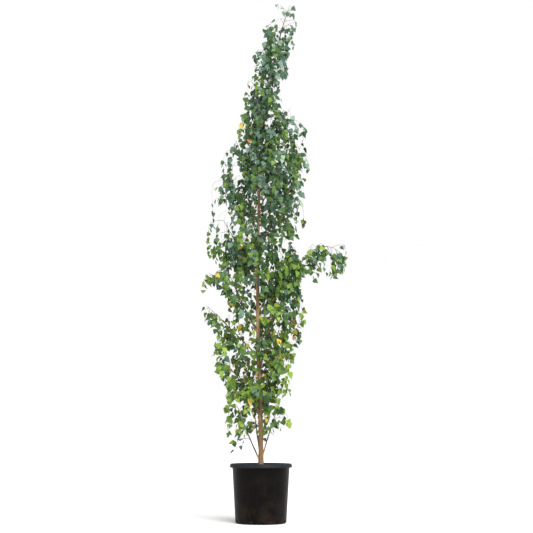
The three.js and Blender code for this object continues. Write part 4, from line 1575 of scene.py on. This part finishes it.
def soil_mesh():
    foot = inner_radius(SOIL_BOTTOM) - WALL_GAP
    brim = inner_radius(SOIL_TOP) - WALL_GAP
    top = [(radius, SOIL_TOP) for radius in np.linspace(brim, 0, SOIL_RINGS)]
    mesh = turned_mesh("soil", [(0, SOIL_BOTTOM), (foot, SOIL_BOTTOM), *top], SOIL_SEGMENTS)
    for vertex in mesh.vertices:
        if vertex.co.z > SOIL_TOP - SURFACE_DEPTH:
            vertex.co.z += SOIL_LUMPS * noise.noise(vertex.co * SOIL_LUMP_FINENESS)
    mesh.shade_smooth()
    return mesh


def soil_finish(name, dark, pale):
    material, tree, shader, where = new_finish(name)
    settled = use_group(tree, dust, Where=where, Fineness=SOIL_PATCHES)
    patched = blend(tree, settled["Dust"], dark, pale)
    colour = blend(tree, speckle(tree, where, SOIL_SPECKS), patched, dark)
    roughness = between(tree, settled["Scuff"], WHOLE, SOIL_ROUGHNESS)
    dress(tree, shader, colour, roughness, speckle(tree, where, SOIL_GRAIN), SOIL_RELIEF)
    return material


soil = show("potting_soil", soil_mesh())
soil.data.materials.append(soil_finish("soil", srgb(42, 30, 23), srgb(84, 62, 46)))
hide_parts("soil")
print(f"potting_soil: {triangle_count(soil.data)} triangles")

# %% Crumbs strewn over the soil
CRUMBS_PER_AREA = 16000.0
CRUMB_RADIUS = 0.0042
CRUMB_SEED = 4
CRUMB_SHAPES = {"Min": (0.5, 0.35, 0.25), "Max": (1.9, 1.0, 0.7), "Seed": 3}
ANY_TURN = {"Max": (6.28, 6.28, 6.28)}
UPWARD = 0.6

strewing, strewn_on, strewn = new_tree(
    "Strew crumbs",
    "GeometryNodeTree",
    {"Ground": GEOMETRY, "Density": FLOAT, "Size": FLOAT, "Seed": INTEGER, "Finish": MATERIAL},
    {"Crumbs": GEOMETRY},
)


def random_vector(limits):
    return place(strewing, "FunctionNodeRandomValue", limits, data_type="FLOAT_VECTOR")[0]


facing_up = split(strewing, place(strewing, "GeometryNodeInputNormal")[0])["Z"]
upper = place(strewing, "FunctionNodeCompare", {0: facing_up, 1: UPWARD}, operation="GREATER_THAN")[0]
spread = {label: strewn_on[label] for label in ("Density", "Seed")}
dealt = {"Mesh": strewn_on["Ground"], "Selection": upper, **spread}
spots = place(strewing, "GeometryNodeDistributePointsOnFaces", dealt)["Points"]
crumb = place(strewing, "GeometryNodeMeshIcoSphere", {"Radius": strewn_on["Size"], "Subdivisions": 1})[0]
any_way = {"Rotation": random_vector(ANY_TURN), "Scale": random_vector(CRUMB_SHAPES)}
crumbs = place(strewing, "GeometryNodeInstanceOnPoints", {"Points": spots, "Instance": crumb, **any_way})[0]
close_tree(strewing, crumbs, strewn_on["Finish"], strewn["Crumbs"])

chip_finish = soil_finish("bark_chip", srgb(58, 38, 26), srgb(122, 84, 54))
chip_sizes = {"Density": CRUMBS_PER_AREA, "Size": CRUMB_RADIUS, "Seed": CRUMB_SEED, "Finish": chip_finish}
bark_chips = settle("bark_chips", soil.data.copy(), strewing, chip_sizes)
for piece in (soil, bark_chips):
    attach(piece, "root")

# %% [markdown]
# ## Floor and light
# The tree stands on a plain pale floor in soft light, as a catalogue shows a plant: a white sky all round
# and one broad, distant lamp, high in front, that gives the leaves a lit side. A lamp close by would
# leave the far floor dark, so this one is a sun with a wide face. The sky shows white behind the tree,
# and lights it less than it shows, so that the lamp has something to do.

# %% The floor
FLOOR_SIDE = 160.0
FLOOR_DROP = 0.0005
FLOOR_COLOURS = (srgb(246, 246, 245), srgb(250, 250, 249))
FLOOR_MOTTLE = 0.8
FLOOR_ROUGHNESS = 0.9

half = FLOOR_SIDE / 2
floor_mesh = bpy.data.meshes.new("floor")
floor_corners = [(x * half, y * half, -FLOOR_DROP) for x, y in ((-1, -1), (1, -1), (1, 1), (-1, 1))]
floor_mesh.from_pydata(floor_corners, [], [(0, 1, 2, 3)])
floor_finish, floor_tree, floor_shader, floor_where = new_finish("floor")
mottled = blend(floor_tree, speckle(floor_tree, floor_where, FLOOR_MOTTLE), *FLOOR_COLOURS)
floor_tree.links.new(mottled, floor_shader.inputs["Base Color"])
floor_shader.inputs["Roughness"].default_value = FLOOR_ROUGHNESS
floor_shader.inputs["Specular IOR Level"].default_value = 0.0
floor_mesh.materials.append(floor_finish)
floor = show("floor", floor_mesh)
print(f"a floor of {FLOOR_SIDE:.0f} m")

# %% Sky and lamp
SKY_LIGHT = (0.72, 1.0)
SUN_STRENGTH = 3.65
SUN_FROM = Vector((0.5, -1.0, 1.0))
SUN_FACE = math.radians(40)

sky = bpy.data.worlds.new("sky")
sky.use_nodes = True
background = sky.node_tree.nodes["Background"].inputs
background["Color"].default_value = (1, 1, 1, 1)
seen = place(sky.node_tree, "ShaderNodeLightPath")["Is Camera Ray"]
sky.node_tree.links.new(between(sky.node_tree, seen, WHOLE, SKY_LIGHT), background["Strength"])
scene.world = sky

sun_data = bpy.data.lights.new("sun", "SUN")
sun_data.energy = SUN_STRENGTH
sun_data.angle = SUN_FACE
sun = show("sun", sun_data)
sun.rotation_mode = "QUATERNION"
sun.rotation_quaternion = (-SUN_FROM).to_track_quat("-Z", "Y")
scene.view_settings.view_transform = "Standard"
print(f"a white sky and a sun of strength {SUN_STRENGTH}")
